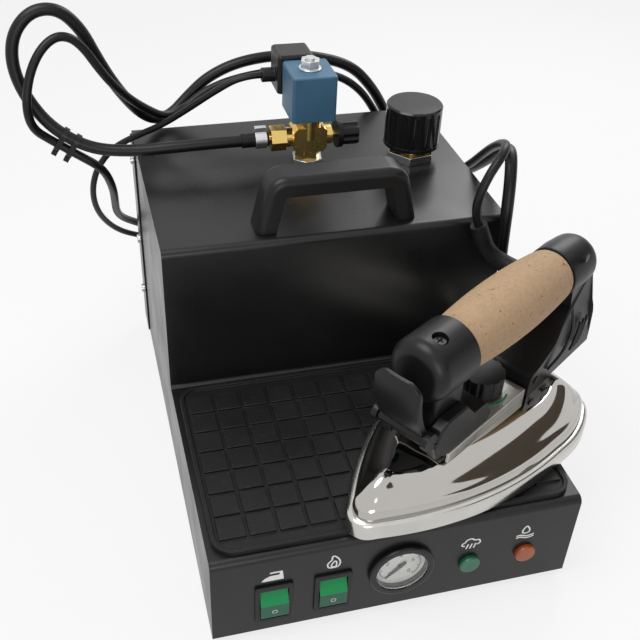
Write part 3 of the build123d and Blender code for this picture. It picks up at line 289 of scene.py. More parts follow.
def tone_effect():
    """A colour that drifts a little darker and lighter, with faint dust on it."""
    found = bpy.data.node_groups.get("tone_and_dust")
    if found:
        return found
    tree, entry, result = effect(
        "tone_and_dust",
        [("Color", "NodeSocketColor", (0.5, 0.5, 0.5, 1)), ("Drift", "NodeSocketFloat", 0.1),
         ("Dust", "NodeSocketFloat", 0.02)],
        [("Color", "NodeSocketColor")],
    )
    place = object_place(tree)
    darker = maths(tree, "SUBTRACT", 1.0, entry.outputs["Drift"])
    lighter = maths(tree, "ADD", 1.0, entry.outputs["Drift"])
    drift = ramp_between(tree, noise(tree, 40.0, place, 4.0), darker, lighter)
    tinted = scaled(tree, entry.outputs["Color"], drift)
    specks = ramp_between(tree, noise(tree, 520.0, place, 2.0), start=0.62, stop=0.78)
    amount = maths(tree, "MULTIPLY", specks, entry.outputs["Dust"])
    dusty = mixed(tree, amount, tinted, dust_colour)
    tree.links.new(dusty, result.inputs["Color"])
    return tree


def cork_effect():
    """Pressed cork: granules of differing tone, with small dark pits between them."""
    tree, entry, result = effect(
        "pressed_cork",
        [("Color", "NodeSocketColor", (0.5, 0.3, 0.15, 1)), ("Granule Scale", "NodeSocketFloat", 420.0)],
        [("Color", "NodeSocketColor"), ("Height", "NodeSocketFloat")],
    )
    place = object_place(tree)
    granules = tree.nodes.new("ShaderNodeTexVoronoi")
    tree.links.new(place, granules.inputs["Vector"])
    tree.links.new(entry.outputs["Granule Scale"], granules.inputs["Scale"])
    single = tree.nodes.new("ShaderNodeSeparateColor")
    tree.links.new(granules.outputs["Color"], single.inputs["Color"])
    tones = ramp_between(tree, single.outputs["Red"], 0.92, 1.07, 0.0, 1.0)
    tinted = scaled(tree, entry.outputs["Color"], tones)
    pits = ramp_between(tree, noise(tree, 330.0, place, 6.0), start=0.64, stop=0.72)
    tree.links.new(mixed(tree, pits, tinted, pit_colour), result.inputs["Color"])
    depth = maths(tree, "SUBTRACT", granules.outputs["Distance"], pits)
    tree.links.new(depth, result.inputs["Height"])
    return tree


# ---------------------------------------------------------------- materials
def blank(name):
    """A new material, with its nodes, links and shader."""
    material = bpy.data.materials.new(name)
    material.use_nodes = True
    tree = material.node_tree
    return material, tree, tree.nodes["Principled BSDF"]


def place_effect(tree, group, **values):
    """An effect placed in a material with its own values."""
    node = tree.nodes.new("ShaderNodeGroup")
    node.node_tree = group
    for label, value in values.items():
        node.inputs[label.replace("_", " ")].default_value = value
    return node


def bump(tree, height, shader, strength, distance):
    """Bump from a height, in the shader's normal."""
    node = tree.nodes.new("ShaderNodeBump")
    node.inputs["Strength"].default_value = strength
    node.inputs["Distance"].default_value = distance * MM
    tree.links.new(height, node.inputs["Height"])
    tree.links.new(node.outputs["Normal"], shader.inputs["Normal"])


def grained(name, tint, smooth, rough, scale=900.0, depth=0.02, drift=0.12, dust=0.03, metallic=0.0,
            shine=0.5):
    """A moulded, sprayed or cast finish."""
    found = bpy.data.materials.get(name)
    if found:
        return found
    material, tree, shader = blank(name)
    tone = place_effect(tree, tone_effect(), Color=(*tint, 1), Drift=drift, Dust=dust)
    grain = place_effect(tree, grain_effect(), Grain_Scale=scale, Smooth=smooth, Rough=rough)
    tree.links.new(tone.outputs["Color"], shader.inputs["Base Color"])
    tree.links.new(grain.outputs["Roughness"], shader.inputs["Roughness"])
    shader.inputs["Metallic"].default_value = metallic
    shader.inputs["Specular IOR Level"].default_value = shine
    bump(tree, grain.outputs["Height"], shader, 0.35, depth)
    return material


def brushed(name, tint, smooth, rough, stretch, turn=0.0, depth=0.01, metallic=1.0):
    """A brushed, turned or drawn metal finish."""
    found = bpy.data.materials.get(name)
    if found:
        return found
    material, tree, shader = blank(name)
    tone = place_effect(tree, tone_effect(), Color=(*tint, 1), Drift=0.06, Dust=0.02)
    lines = place_effect(tree, brushed_effect(), Stretch=stretch, Turn=turn, Smooth=smooth, Rough=rough)
    tree.links.new(tone.outputs["Color"], shader.inputs["Base Color"])
    tree.links.new(lines.outputs["Roughness"], shader.inputs["Roughness"])
    shader.inputs["Metallic"].default_value = metallic
    bump(tree, lines.outputs["Height"], shader, 0.3, depth)
    return material


def cabinet_paint():
    """Satin powder coat."""
    return grained("cabinet_paint", finishes().paint, 0.26, 0.36, 1500.0, 0.012, 0.10, 0.02, shine=0.34)


def mat_rubber():
    """Matt rubber."""
    return grained("mat_rubber", finishes().rubber, 0.42, 0.58, 700.0, 0.03, 0.2, 0.04, shine=0.24)


def black_plastic():
    """Moulded black plastic with a spark-eroded grain."""
    return grained("moulded_plastic", finishes().plastic, 0.30, 0.42, 1300.0, 0.02, 0.1, 0.02, shine=0.26)


def gloss_plastic():
    """Polished black plastic."""
    return grained("gloss_plastic", finishes().plastic, 0.12, 0.2, 500.0, 0.003, 0.08, 0.01, shine=0.3)


def cord_rubber():
    """The cords' smooth covering."""
    return grained("cord_rubber", finishes().cord, 0.32, 0.44, 1600.0, 0.012, 0.12, 0.03, shine=0.24)


def coil_plastic():
    """The coil's blue moulding."""
    return grained("coil_plastic", finishes().coil, 0.38, 0.5, 900.0, 0.02, 0.07, 0.03)


def brass():
    """Machined brass."""
    return brushed("machined_brass", finishes().brass, 0.16, 0.28, (8.0, 1.0, 8.0), 0.0, 0.0015)


def zinc():
    """Bright zinc plating."""
    return grained("zinc_plating", finishes().zinc, 0.16, 0.32, 600.0, 0.006, 0.08, 0.02, 1.0)


def chrome():
    """Polished chrome, with the faintest orange peel."""
    return grained("chrome_plating", finishes().chrome, 0.045, 0.085, 60.0, 0.0004, 0.02, 0.0, 1.0)


def sole_metal():
    """The soleplate's linished edge."""
    return brushed("linished_aluminium", finishes().sole, 0.16, 0.26, (1.0, 1.0, 14.0), 0.0, 0.0015)


def plate_metal():
    """The bracket's brushed plate."""
    return brushed("brushed_plate", finishes().plate, 0.26, 0.42, (1.0, 22.0, 4.0), -iron_turn, 0.012)


def inner_steel():
    """The boiler's stainless steel."""
    return brushed("stainless_steel", (0.56, 0.56, 0.55), 0.25, 0.4, (12.0, 1.0, 1.0))


def insulation():
    """The boiler jacket's felt."""
    return grained("insulation_felt", (0.55, 0.52, 0.45), 0.85, 0.95, 400.0, 0.3, 0.2, 0.05)


def printing():
    """White printing on the panel."""
    return grained("panel_print", finishes().print_white, 0.45, 0.6, 900.0, 0.005, 0.05, 0.0)


def dark_printing():
    """Black printing on the dial."""
    return grained("dial_print", (0.02, 0.02, 0.02), 0.5, 0.6, 900.0, 0.005, 0.05, 0.0)


def green_printing():
    """Green printing on the bracket plate."""
    return grained("plate_print", (0.01, 0.32, 0.12), 0.4, 0.5, 900.0, 0.005, 0.08, 0.0)


def dial_enamel():
    """The gauge's white dial."""
    return grained("dial_enamel", (0.72, 0.71, 0.67), 0.4, 0.55, 900.0, 0.004, 0.05, 0.01)


def lens(name, tint):
    """A lamp's coloured lens, prismatic behind a smooth face."""
    material = grained(name, tint, 0.12, 0.26, 260.0, 0.12, 0.25, 0.0)
    shader = material.node_tree.nodes["Principled BSDF"]
    shader.inputs["Coat Weight"].default_value = 0.15
    return material


def glass():
    """Clear glass over the dial."""
    material, tree, shader = blank("gauge_glass")
    grain = place_effect(tree, grain_effect(), Grain_Scale=300.0, Smooth=0.0, Rough=0.03)
    tree.links.new(grain.outputs["Roughness"], shader.inputs["Roughness"])
    shader.inputs["Base Color"].default_value = (0.97, 0.98, 0.97, 1)
    shader.inputs["Transmission Weight"].default_value = 1.0
    shader.inputs["IOR"].default_value = 1.45
    return material


def rocker_plastic():
    """Translucent green plastic, painted lighter green above the ridge and darker below: painted light on
    the upper half, which faces up to the lamps, and painted shade on the lower half.
    """
    found = bpy.data.materials.get("rocker_plastic")
    if found:
        return found
    material, tree, shader = blank("rocker_plastic")
    place = object_place(tree)
    parts = tree.nodes.new("ShaderNodeSeparateXYZ")
    tree.links.new(place, parts.inputs["Vector"])
    low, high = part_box("power_rocker")
    ridge = (low.z + high.z) / 2 + 1.0 * MM
    share = ramp_between(tree, parts.outputs["Z"], start=ridge - 0.5 * MM, stop=ridge + 0.5 * MM)
    # Painted light and shade: the lighter green above the ridge and the darker green below it.
    painted_light_and_shade = mixed(tree, share, (*finishes().rocker_off, 1), (*finishes().rocker, 1))
    tree.links.new(painted_light_and_shade, shader.inputs["Base Color"])
    grain = place_effect(tree, grain_effect(), Grain_Scale=400.0, Smooth=0.16, Rough=0.26)
    tree.links.new(grain.outputs["Roughness"], shader.inputs["Roughness"])
    bump(tree, grain.outputs["Height"], shader, 0.2, 0.01)
    shader.inputs["Specular IOR Level"].default_value = 0.3
    return material


def cork():
    """The grip's pressed cork."""
    material, tree, shader = blank("pressed_cork")
    pattern = place_effect(tree, cork_effect(), Color=(*finishes().cork, 1), Granule_Scale=640.0)
    grain = place_effect(tree, grain_effect(), Grain_Scale=500.0, Smooth=0.68, Rough=0.85)
    tree.links.new(pattern.outputs["Color"], shader.inputs["Base Color"])
    tree.links.new(grain.outputs["Roughness"], shader.inputs["Roughness"])
    bump(tree, pattern.outputs["Height"], shader, 0.4, 0.12)
    return material


# ---------------------------------------------------------------- making pieces
def mesh_of(shape, name, place=None):
    """A finished bmesh as a mesh, put in its place."""
    mesh = bpy.data.meshes.new(name)
    shape.to_mesh(mesh)
    shape.free()
    if place is not None:
        mesh.transform(place)
    return mesh


def new_piece(name, mesh, material, body, slot, *nodes):
    """Show a finished mesh as a piece that rides on a body and stands for its CAD nodes."""
    piece = bpy.data.objects.new(name, mesh)
    bpy.context.scene.collection.objects.link(piece)
    mesh.materials.clear()
    mesh.materials.append(material)
    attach(piece, body)
    if nodes:
        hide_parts(*nodes)
    return piece


def smooth(piece, crease, edge=0.0, segments=2, flats=True):
    """Round a piece's sharp edges and shade its curves smooth, while its flats stay flat."""
    for face in piece.data.polygons:
        face.use_smooth = True
    piece.data.set_sharp_from_angle(angle=radians(crease))
    if edge:
        rounding = piece.modifiers.new("rounding", "BEVEL")
        rounding.width = edge * MM
        rounding.segments = segments
        rounding.limit_method = "ANGLE"
        rounding.angle_limit = radians(crease)
        rounding.use_clamp_overlap = True
    if flats:
        weights = piece.modifiers.new("flats", "WEIGHTED_NORMAL")
        weights.keep_sharp = True
    return piece


def dressed(node, material, slot, edge, crease=32.0, segments=2):
    """A CAD node's own shape, with its triangles merged, its edges rounded and its curves smooth."""
    source = frame["nodes"][node]
    mesh = source.data.copy()
    mesh.name = node + "_mesh"
    shape = bmesh.new()
    shape.from_mesh(mesh)
    bmesh.ops.remove_doubles(shape, verts=shape.verts, dist=0.002 * MM)
    bmesh.ops.dissolve_limit(shape, angle_limit=radians(0.4), verts=shape.verts, edges=shape.edges)
    shape.to_mesh(mesh)
    shape.free()
    piece = new_piece(node + "_finished", mesh, material, source["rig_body"], slot, node)
    return smooth(piece, crease, edge, segments)


def repaint(material, *nodes):
    """Give CAD nodes that stay as they are their finish."""
    for node in nodes:
        mesh = frame["nodes"][node].data
        mesh.materials.clear()
        mesh.materials.append(material)


def curve_object(name, kind, lines, cyclic=False):
    """A curve through the given points, straight or smooth."""
    curve = bpy.data.curves.new(name, "CURVE")
    curve.dimensions = "3D"
    curve.resolution_u = 10
    for line in lines:
        spline = curve.splines.new(kind)
        spline.points.add(len(line) - 1)
        for point, place in zip(spline.points, line):
            point.co = (*place, 1)
        spline.use_cyclic_u = cyclic
        if kind == "NURBS":
            spline.order_u = 3
            spline.use_endpoint_u = not cyclic
    holder = bpy.data.objects.new(name, curve)
    bpy.context.scene.collection.objects.link(holder)
    return holder


def curve_mesh(holder, remove=True):
    """A curve's or a text's evaluated shape as a mesh."""
    bpy.context.view_layer.update()
    graph = bpy.context.evaluated_depsgraph_get()
    mesh = bpy.data.meshes.new_from_object(holder.evaluated_get(graph))
    if remove:
        bpy.data.objects.remove(holder)
    return mesh


# ---------------------------------------------------------------- cords
hose_way = Vector((-0.75 * sin(iron_turn), 0.75 * cos(iron_turn), 0.66)).normalized()
hose_seat = on_iron(214, 24, 58)
hose_end = hose_seat + hose_way * 12
guard_out = [on_iron(207, 21, 88)]
guard_out += [Vector(place) for place in ((117, 143, 171), (104, 151.5, 179), (97.5, 153, 196))]
guard_way = (guard_out[3] - guard_out[2]).normalized()
guard_collar = 6.0
cable_end = guard_out[3] + guard_way * guard_collar
hose_route = [
    (-48.5, 280, 217), (-70, 280, 217), (-100, 281, 216), (-131, 284, 214), (-161, 288, 217),
    (-186, 294, 233), (-201, 299, 256), (-207, 303, 279), (-203, 306, 300), (-189, 309, 314),
    (-171, 311, 314), (-157, 314, 298), (-148, 318, 275), (-138, 325, 252), (-126, 335, 230),
    (-115, 347, 213), (-103, 358, 203), (-90, 365, 204), (-76, 370, 216), (-59, 371, 231),
    (-34, 371, 242), (-2, 371, 246), (32, 371, 243), (64, 371, 233), (84, 372, 212), (98, 375, 189),
    (108, 379, 168), (121, 381, 151), (138, 374, 141), (147, 356, 138), (147, 328, 146),
    (145, 300, 161), (143, 272, 180), (141.5, 246, 201), (139, 222, 220), (134.5, 202, 233),
    (129, 186, 236), (124.5, 173, 225), (121.5, 164.5, 205), (120.5, 161, 184),
    tuple(hose_end + hose_way * 20), tuple(hose_end),
]
cable_route = [
    (-92, 373.4, 72), (-92, 381, 72), (-97, 391, 73), (-109, 397, 77), (-125, 393, 87),
    (-138, 379, 102), (-143.5, 357, 122), (-144.5, 334, 147), (-146, 313, 169), (-150, 298, 189),
    (-156, 289, 202), (-168.3, 289.7, 210.9), (-187, 294.2, 222.9), (-199, 290, 235), (-201, 286, 253),
    (-197, 291, 272), (-188, 298, 288), (-176, 303, 297), (-165, 305, 295.5), (-156, 306, 286),
    (-148.5, 307, 272), (-139, 311, 256), (-126, 320, 239), (-113, 333, 224), (-99, 345, 211),
    (-82, 356, 211), (-64, 361, 223), (-42, 362, 231), (-12, 362, 236), (22, 362, 235),
    (52, 362, 228), (72, 363, 213), (87, 366, 191), (98, 368, 170), (110, 370, 153),
    (125, 367.5, 142), (135.5, 354, 137), (136, 331, 142), (134.5, 305, 156), (133, 279, 174),
    (132, 254, 194), (130, 232, 214), (127, 212, 230), (123, 192, 243), (118, 174, 251),
    (109, 162, 249), (99.5, 157, 239), (93.5, 155, 225), tuple(cable_end + guard_way * 10),
    tuple(cable_end),
]
lead_route = [
    (-26.5, 311.5, 255), (-42, 311.5, 255), (-62, 315, 243), (-83, 321, 227), (-104, 327, 212),
    (-124, 331, 203), (-142, 332, 194), (-155, 334, 178), (-161, 341, 157), (-161, 353, 133),
    (-155, 368, 109), (-142, 384, 86), (-123, 397, 70), (-101, 403, 62), (-83, 401, 62),
    (-71, 393, 67), (-66, 383, 72), (-66, 373.4, 72),
]


def cord(name, node, route, diameter, length):
    """A cord's smooth tube along its route."""
    places = [at(*place) for place in route]
    holder = curve_object(name + "_line", "NURBS", [places])
    path = [vertex.co.copy() for vertex in curve_mesh(holder, remove=False).vertices]
    holder.data.bevel_depth = diameter / 2 * MM
    holder.data.bevel_resolution = 6
    holder.data.use_fill_caps = True
    mesh = curve_mesh(holder)
    piece = bpy.data.objects.new(name, mesh)
    bpy.context.scene.collection.objects.link(piece)
    mesh.materials.clear()
    mesh.materials.append(cord_rubber())
    for face in mesh.polygons:
        face.use_smooth = True
    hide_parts(node)
    return piece


class STEAMIRON_OT_stage(bpy.types.Operator):
    """Make the camera, the lights, the floor and the backdrop."""
    bl_idname = "steam_iron.stage"
    bl_label = "Stage"

    def execute(self, context):
        make_camera(context.scene)
        make_world(context.scene)
        make_floor()
        make_flag()
        area_light("key_light", (-420, 60, 1150), 0.7, 8.0)
        area_light("front_light", (-250, -1150, 520), 0.6, 4.0)
        area_light("rim_light", (620, 900, 900), 0.6, 5.0)
        return {"FINISHED"}


def make_camera(scene):
    """A camera that looks down at the cabinet's left front corner."""
    azimuth, elevation, roll = radians(-16.585), radians(37.024), radians(2.788)
    back = Vector((sin(azimuth) * cos(elevation), -cos(azimuth) * cos(elevation), sin(elevation)))
    right = (-back).cross(Vector((0, 0, 1))).normalized()
    up = right.cross(-back)
    side = right * cos(roll) + up * sin(roll)
    top = up * cos(roll) - right * sin(roll)
    data = bpy.data.cameras.new("camera")
    data.sensor_width = 36
    data.lens = 53.62
    data.clip_start = 0.02
    data.clip_end = 30
    camera = bpy.data.objects.new("camera", data)
    turn = Matrix((side, top, back)).transposed().to_4x4()
    camera.matrix_world = Matrix.Translation(at(-172.75, -369.0, 546.5)) @ turn
    scene.collection.objects.link(camera)
    scene.camera = camera


def seen_directly(tree):
    """Light Path's camera, glossy and transmission rays as one switch."""
    path = tree.nodes.new("ShaderNodeLightPath")
    value = path.outputs["Is Camera Ray"]
    for label in ("Is Glossy Ray", "Is Transmission Ray"):
        value = maths(tree, "MAXIMUM", value, path.outputs[label])
    return value


def make_world(scene):
    """A white backdrop that lights the object softly."""
    scene.view_settings.view_transform = "Standard"
    world = bpy.data.worlds.new("studio")
    world.use_nodes = True
    scene.world = world
    tree = world.node_tree
    background = tree.nodes["Background"]
    background.inputs["Color"].default_value = (1, 1, 1, 1)
    level = ramp_between(tree, seen_directly(tree), 0.35, 1.0, 0.0, 1.0)
    tree.links.new(level, background.inputs["Strength"])


def make_floor():
    """A pale floor that keeps the object's shadow."""
    shape = bmesh.new()
    bmesh.ops.create_grid(shape, x_segments=1, y_segments=1, size=6)
    mesh = mesh_of(shape, "floor")
    floor = bpy.data.objects.new("floor", mesh)
    bpy.context.scene.collection.objects.link(floor)
    material = bpy.data.materials.new("pale_floor")
    material.use_nodes = True
    tree = material.node_tree
    tree.nodes.clear()
    lit = tree.nodes.new("ShaderNodeBsdfDiffuse")
    lit.inputs["Color"].default_value = (0.80, 0.80, 0.80, 1)
    glow = tree.nodes.new("ShaderNodeEmission")
    glow.inputs["Strength"].default_value = 1.0
    share = maths(tree, "MULTIPLY", seen_directly(tree), 0.78)
    mix = tree.nodes.new("ShaderNodeMixShader")
    output = tree.nodes.new("ShaderNodeOutputMaterial")
    tree.links.new(share, mix.inputs["Fac"])
    tree.links.new(lit.outputs["BSDF"], mix.inputs[1])
    tree.links.new(glow.outputs["Emission"], mix.inputs[2])
    tree.links.new(mix.outputs["Shader"], output.inputs["Surface"])
    mesh.materials.append(material)


def make_flag():
    """A dark card beside the object, which only shows as a band in its chrome."""
    shape = bmesh.new()
    bmesh.ops.create_grid(shape, x_segments=1, y_segments=1, size=0.5)
    bmesh.ops.scale(shape, vec=(1.6, 0.42, 1), verts=shape.verts)
    mesh = mesh_of(shape, "flag")
    flag = bpy.data.objects.new("flag", mesh)
    flag.location = at(900, -150, 560)
    flag.rotation_mode = "QUATERNION"
    flag.rotation_quaternion = (at(0, 100, 60) - flag.location).to_track_quat("Z", "Y")
    bpy.context.scene.collection.objects.link(flag)
    flag.visible_camera = False
    flag.visible_diffuse = False
    flag.visible_shadow = False
    flag.visible_transmission = False
    material, tree, shader = blank("flag_card")
    shader.inputs["Base Color"].default_value = (0.12, 0.095, 0.075, 1)
    shader.inputs["Roughness"].default_value = 0.9
    mesh.materials.append(material)


def area_light(name, place, size, power):
    """A soft light that points at the middle of the object."""
    data = bpy.data.lights.new(name, "AREA")
    data.shape = "DISK"
    data.size = size
    data.energy = power
    lamp = bpy.data.objects.new(name, data)
    lamp.location = at(*place)
    lamp.rotation_mode = "QUATERNION"
    lamp.rotation_quaternion = (at(0, 150, 110) - lamp.location).to_track_quat("-Z", "Y")
    bpy.context.scene.collection.objects.link(lamp)


class STEAMIRON_OT_cords(bpy.types.Operator):
    """Lay the steam hose, the iron's cable and the valve's lead."""
    bl_idname = "steam_iron.cords"
    bl_label = "Cords"

    def execute(self, context):
        hose = cord("steam_hose_tube", "steam_hose", hose_route, 9.0, 1.015)
        cable = cord("iron_cable_tube", "iron_cable", cable_route, 6.5, 1.039)
        for piece in (hose, cable):
            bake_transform(piece)
        lead = cord("valve_cable_tube", "valve_cable", lead_route, 5.0, 0.369)
        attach(lead, "cabinet")
        dressed("cable_ties", black_plastic(), "black_plastic", 0.2)
        return {"FINISHED"}


class STEAMIRON_OT_cabinet(bpy.types.Operator):
    """Finish the painted cabinet, its feet, its cover and its fittings."""
    bl_idname = "steam_iron.cabinet"
    bl_label = "Cabinet"

    def execute(self, context):
        edge = details().sheet_edge
        for node in ("cabinet_shell", "base_pan", "rear_cover"):
            dressed(node, cabinet_paint(), "black_paint", edge, 25.0)
        dressed("rubber_feet", mat_rubber(), "rubber", 0.4)
        dressed("cabinet_screws", zinc(), "zinc", 0.2)
        dressed("mains_inlet", black_plastic(), "black_plastic", 0.3)
        dressed("cable_glands", black_plastic(), "black_plastic", 0.4)
        dressed("grab_handle", black_plastic(), "black_plastic", details().plastic_edge, 25.0, 3)
        return {"FINISHED"}


class STEAMIRON_OT_rest_mat(bpy.types.Operator):
    """Finish the rubber mat with its rim and its pads."""
    bl_idname = "steam_iron.rest_mat"
    bl_label = "Rest mat"

    def execute(self, context):
        dressed("rest_mat", mat_rubber(), "rubber", 0.4, 30.0, 2)
        return {"FINISHED"}


def flat_print(name, lines, place, material, body, width=None, cyclic=False, kind="NURBS", slot=None):
    """Printed lines: strokes drawn flat in millimetres, pressed thin and put in place."""
    holder = curve_object(name, kind, [[(x, y, 0) for x, y in line] for line in lines], cyclic)
    holder.data.bevel_depth = (width or details().print_line) / 2
    holder.data.bevel_resolution = 2
    holder.data.use_fill_caps = True
    mesh = curve_mesh(holder)
    mesh.transform(Matrix.Diagonal((1, 1, 0.16, 1)))
    mesh.transform(place)
    return new_piece(name, mesh, material, body, slot)


def raised(shape, faces, shift):
    """Draw faces out into a solid."""
    drawn = bmesh.ops.extrude_face_region(shape, geom=faces)
    tops = [item for item in drawn["geom"] if isinstance(item, bmesh.types.BMVert)]
    bmesh.ops.translate(shape, verts=tops, vec=shift)


def solid_print(name, outline, place, material, body, thickness=0.08):
    """A printed patch: an outline drawn flat in millimetres and given a little thickness."""
    shape = bmesh.new()
    corners = [shape.verts.new((x, y, 0)) for x, y in outline]
    patch = shape.faces.new(corners)
    if patch.normal.z < 0:
        patch.normal_flip()
    raised(shape, [patch], (0, 0, thickness))
    bmesh.ops.recalc_face_normals(shape, faces=shape.faces)
    return new_piece(name, mesh_of(shape, name, place), material, body, None)


class STEAMIRON_OT_panel(bpy.types.Operator):
    """Finish the switches and the lamps, and print the signs over them."""
    bl_idname = "steam_iron.panel"
    bl_label = "Front panel"

    def execute(self, context):
        dressed("switch_cases", black_plastic(), "black_plastic", 0.35)
        dressed("power_rocker", rocker_plastic(), "rocker_green", 0.7, 25.0, 3)
        dressed("heater_rocker", rocker_plastic(), "rocker_green", 0.7, 25.0, 3)
        dressed("steam_lamp", lens("green_lens", finishes().green), "lens_green", 0.3)
        dressed("water_lamp", lens("orange_lens", finishes().orange), "lens_orange", 0.3)
        for rocker, x in (("power_rocker", -84.5), ("heater_rocker", -45.5)):
            ring = [(1.7 * cos(step * pi / 4), 1.7 * sin(step * pi / 4)) for step in range(8)]
            flat_print(rocker + "_mark", [ring], panel_place(x, -3.66, 27.2, radians(2)), printing(),
                       rocker, 0.45, True)
        self.signs()
        return {"FINISHED"}

    def signs(self):
        """An iron, a flame, a steam cloud and a drop over water."""
        white = printing()
        larger = Matrix.Scale(1.22, 4)
        iron = [(-6, -3.2), (5.8, -3.2), (5.1, 3.4), (-1.4, 3.4), (-1.7, 2.3), (3.7, 2.3), (3.4, 0.6),
                (-1.3, 0.6), (-3.4, -0.3), (-5.0, -1.6)]
        solid_print("iron_sign", iron, panel_place(-85.4, 0, 58.6) @ larger, white, "cabinet")
        flame = [(0, -4.8), (-2.9, -4.4), (-3.6, -1.4), (-2.0, 0.6), (-1.0, 1.6), (-0.9, 5.2), (2.0, 3.0),
                 (3.7, -0.6), (3.0, -4.2)]
        tongue = [(0.1, -4.4), (-1.6, -3.4), (-0.8, -1.2), (0.9, 1.0), (1.7, -1.8), (1.3, -3.8)]
        flat_print("flame_sign", [flame, tongue], panel_place(-45.8, 0, 61.6) @ larger, white, "cabinet",
                   cyclic=True)
        cloud = [(-3.6, -0.4), (-5.4, -0.2), (-5.2, 2.0), (-3.6, 2.2), (-3.2, 4.4), (0.2, 5.2), (1.8, 3.2),
                 (4.6, 3.6), (5.6, 0.4), (3.6, -0.4)]
        rain = [[(x, 0.8), (x - 1.0, -2.8)] for x in (-1.6, 0.6, 2.8)]
        flat_print("cloud_sign", [cloud], panel_place(48.8, 0, 52.2) @ larger, white, "cabinet")
        flat_print("steam_sign", rain, panel_place(48.8, 0, 52.2) @ larger, white, "cabinet", kind="POLY")
        drop = [(0, 5.6), (-2.2, 1.8), (-2.0, -0.4), (0, -1.0), (2.0, -0.4), (2.2, 1.8)]
        flat_print("drop_sign", [drop], panel_place(88.0, 0, 54.6) @ larger, white, "cabinet", None, True)
        waves = [[(-5.2, y), (-3.4, y + 0.9), (-0.6, y - 0.3), (2.2, y - 0.9), (5.2, y + 0.2)]
                 for y in (-2.6, -4.2)]
        flat_print("water_sign", waves, panel_place(88.0, 0, 54.6) @ larger, white, "cabinet")


class STEAMIRON_OT_gauge(bpy.types.Operator):
    """Finish the pressure gauge and print its dial."""
    bl_idname = "steam_iron.gauge"
    bl_label = "Gauge"
    centre = (0.6, 42.5)
    sweep_start, sweep = 225.0, 270.0
    scale_r = 14.6
    marks = 40
    numbers = (0, 2, 4, 6, 8)

    def execute(self, context):
        dressed("gauge_case", gloss_plastic(), "black_plastic", 0.5, 30.0, 3)
        repaint(dial_enamel(), "gauge_dial")
        repaint(dark_printing(), "gauge_needle")
        repaint(glass(), "gauge_glass")
        x, z = self.centre
        dial_face = (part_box("gauge_dial")[0].y - origin.y) / MM
        place = panel_place(x, dial_face - 0.03, z)
        flat_print("dial_marks", self.ticks(), place, dark_printing(), "cabinet", 0.5, kind="POLY")
        arc = [self.spot(share / 24, self.scale_r) for share in range(25)]
        flat_print("dial_ring", [arc], place, dark_printing(), "cabinet", 0.4)
        for order, number in enumerate(self.numbers):
            self.number(str(number), order / (len(self.numbers) - 1), place)
        return {"FINISHED"}

    def spot(self, share, radius):
        """A point of the dial, at a share of its sweep and a distance from its middle."""
        angle = radians(self.sweep_start - self.sweep * share)
        return (radius * cos(angle), radius * sin(angle))

    def ticks(self):
        """The scale's lines, every fifth one longer."""
        lines = []
        for step in range(self.marks + 1):
            depth = 2.4 if step % 5 == 0 else 1.2
            share = step / self.marks
            lines.append([self.spot(share, self.scale_r), self.spot(share, self.scale_r - depth)])
        return lines

    def number(self, text, share, place):
        """A plain number on the dial."""
        font = bpy.data.curves.new("dial_number_" + text, "FONT")
        font.body = text
        font.size = 4.8
        font.align_x = "CENTER"
        font.align_y = "CENTER"
        font.extrude = 0.03
        holder = bpy.data.objects.new("dial_number_" + text, font)
        bpy.context.scene.collection.objects.link(holder)
        mesh = curve_mesh(holder)
        x, y = self.spot(share, self.scale_r - 5.0)
        mesh.transform(Matrix.Translation((x, y, 0)))
        mesh.transform(place)
        new_piece("dial_number_" + text, mesh, dark_printing(), "cabinet", None)


class STEAMIRON_OT_filler(bpy.types.Operator):
    """Finish the filler's bushing, seal and fluted cap."""
    bl_idname = "steam_iron.filler"
    bl_label = "Filler"
    neck_r = 15.5

    def execute(self, context):
        bushing = dressed("filler_bushing", brass(), "brass", 0.5)
        bushing.data.materials.append(zinc())
        low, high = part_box("filler_bushing")
        middle = (low + high) / 2
        for face in bushing.data.polygons:
            out = face.center - middle
            if Vector((out.x, out.y)).length > self.neck_r * MM:
                face.material_index = 1
        repaint(mat_rubber(), "cap_seal")
        dressed("filler_cap", gloss_plastic(), "black_plastic", 0.5, 35.0, 3)
        return {"FINISHED"}


class STEAMIRON_OT_valve(bpy.types.Operator):
    """Finish the steam valve, its coil and plug, its regulator and the hose's barb and clamp."""
    bl_idname = "steam_iron.valve"
    bl_label = "Steam valve"

    def execute(self, context):
        edge = details().metal_edge
        for node in ("valve_nipple", "valve_body", "regulator_spindle", "hose_barb"):
            dressed(node, brass(), "brass", edge)
        for node in ("valve_locknut", "coil_nut", "hose_clamp"):
            dressed(node, zinc(), "zinc", edge)
        dressed("valve_coil", coil_plastic(), "coil_blue", 0.8, 35.0, 3)
        dressed("coil_plug", black_plastic(), "black_plastic", 0.7, 35.0, 3)
        dressed("regulator_knob", black_plastic(), "black_plastic", 0.5, 35.0, 3)
        dressed("hose_sleeve", cord_rubber(), "rubber", 0.4)
        return {"FINISHED"}


# ---------------------------------------------------------------- iron
def arc_points(start, middle, end, count):
    """Points on the arc through three places, without its last."""
    ax, ay = start
    bx, by = middle
    cx, cy = end
    twice = 2 * (ax * (by - cy) + bx * (cy - ay) + cx * (ay - by))
    a2, b2, c2 = ax * ax + ay * ay, bx * bx + by * by, cx * cx + cy * cy
    x = (a2 * (by - cy) + b2 * (cy - ay) + c2 * (ay - by)) / twice
    y = (a2 * (cx - bx) + b2 * (ax - cx) + c2 * (bx - ax)) / twice
    middle_point = Vector((x, y))
    first = Vector(start) - middle_point
    last = Vector(end) - middle_point
    sweep = first.angle_signed(last)
    return [middle_point + Matrix.Rotation(-sweep * step / count, 2) @ first for step in range(count)]


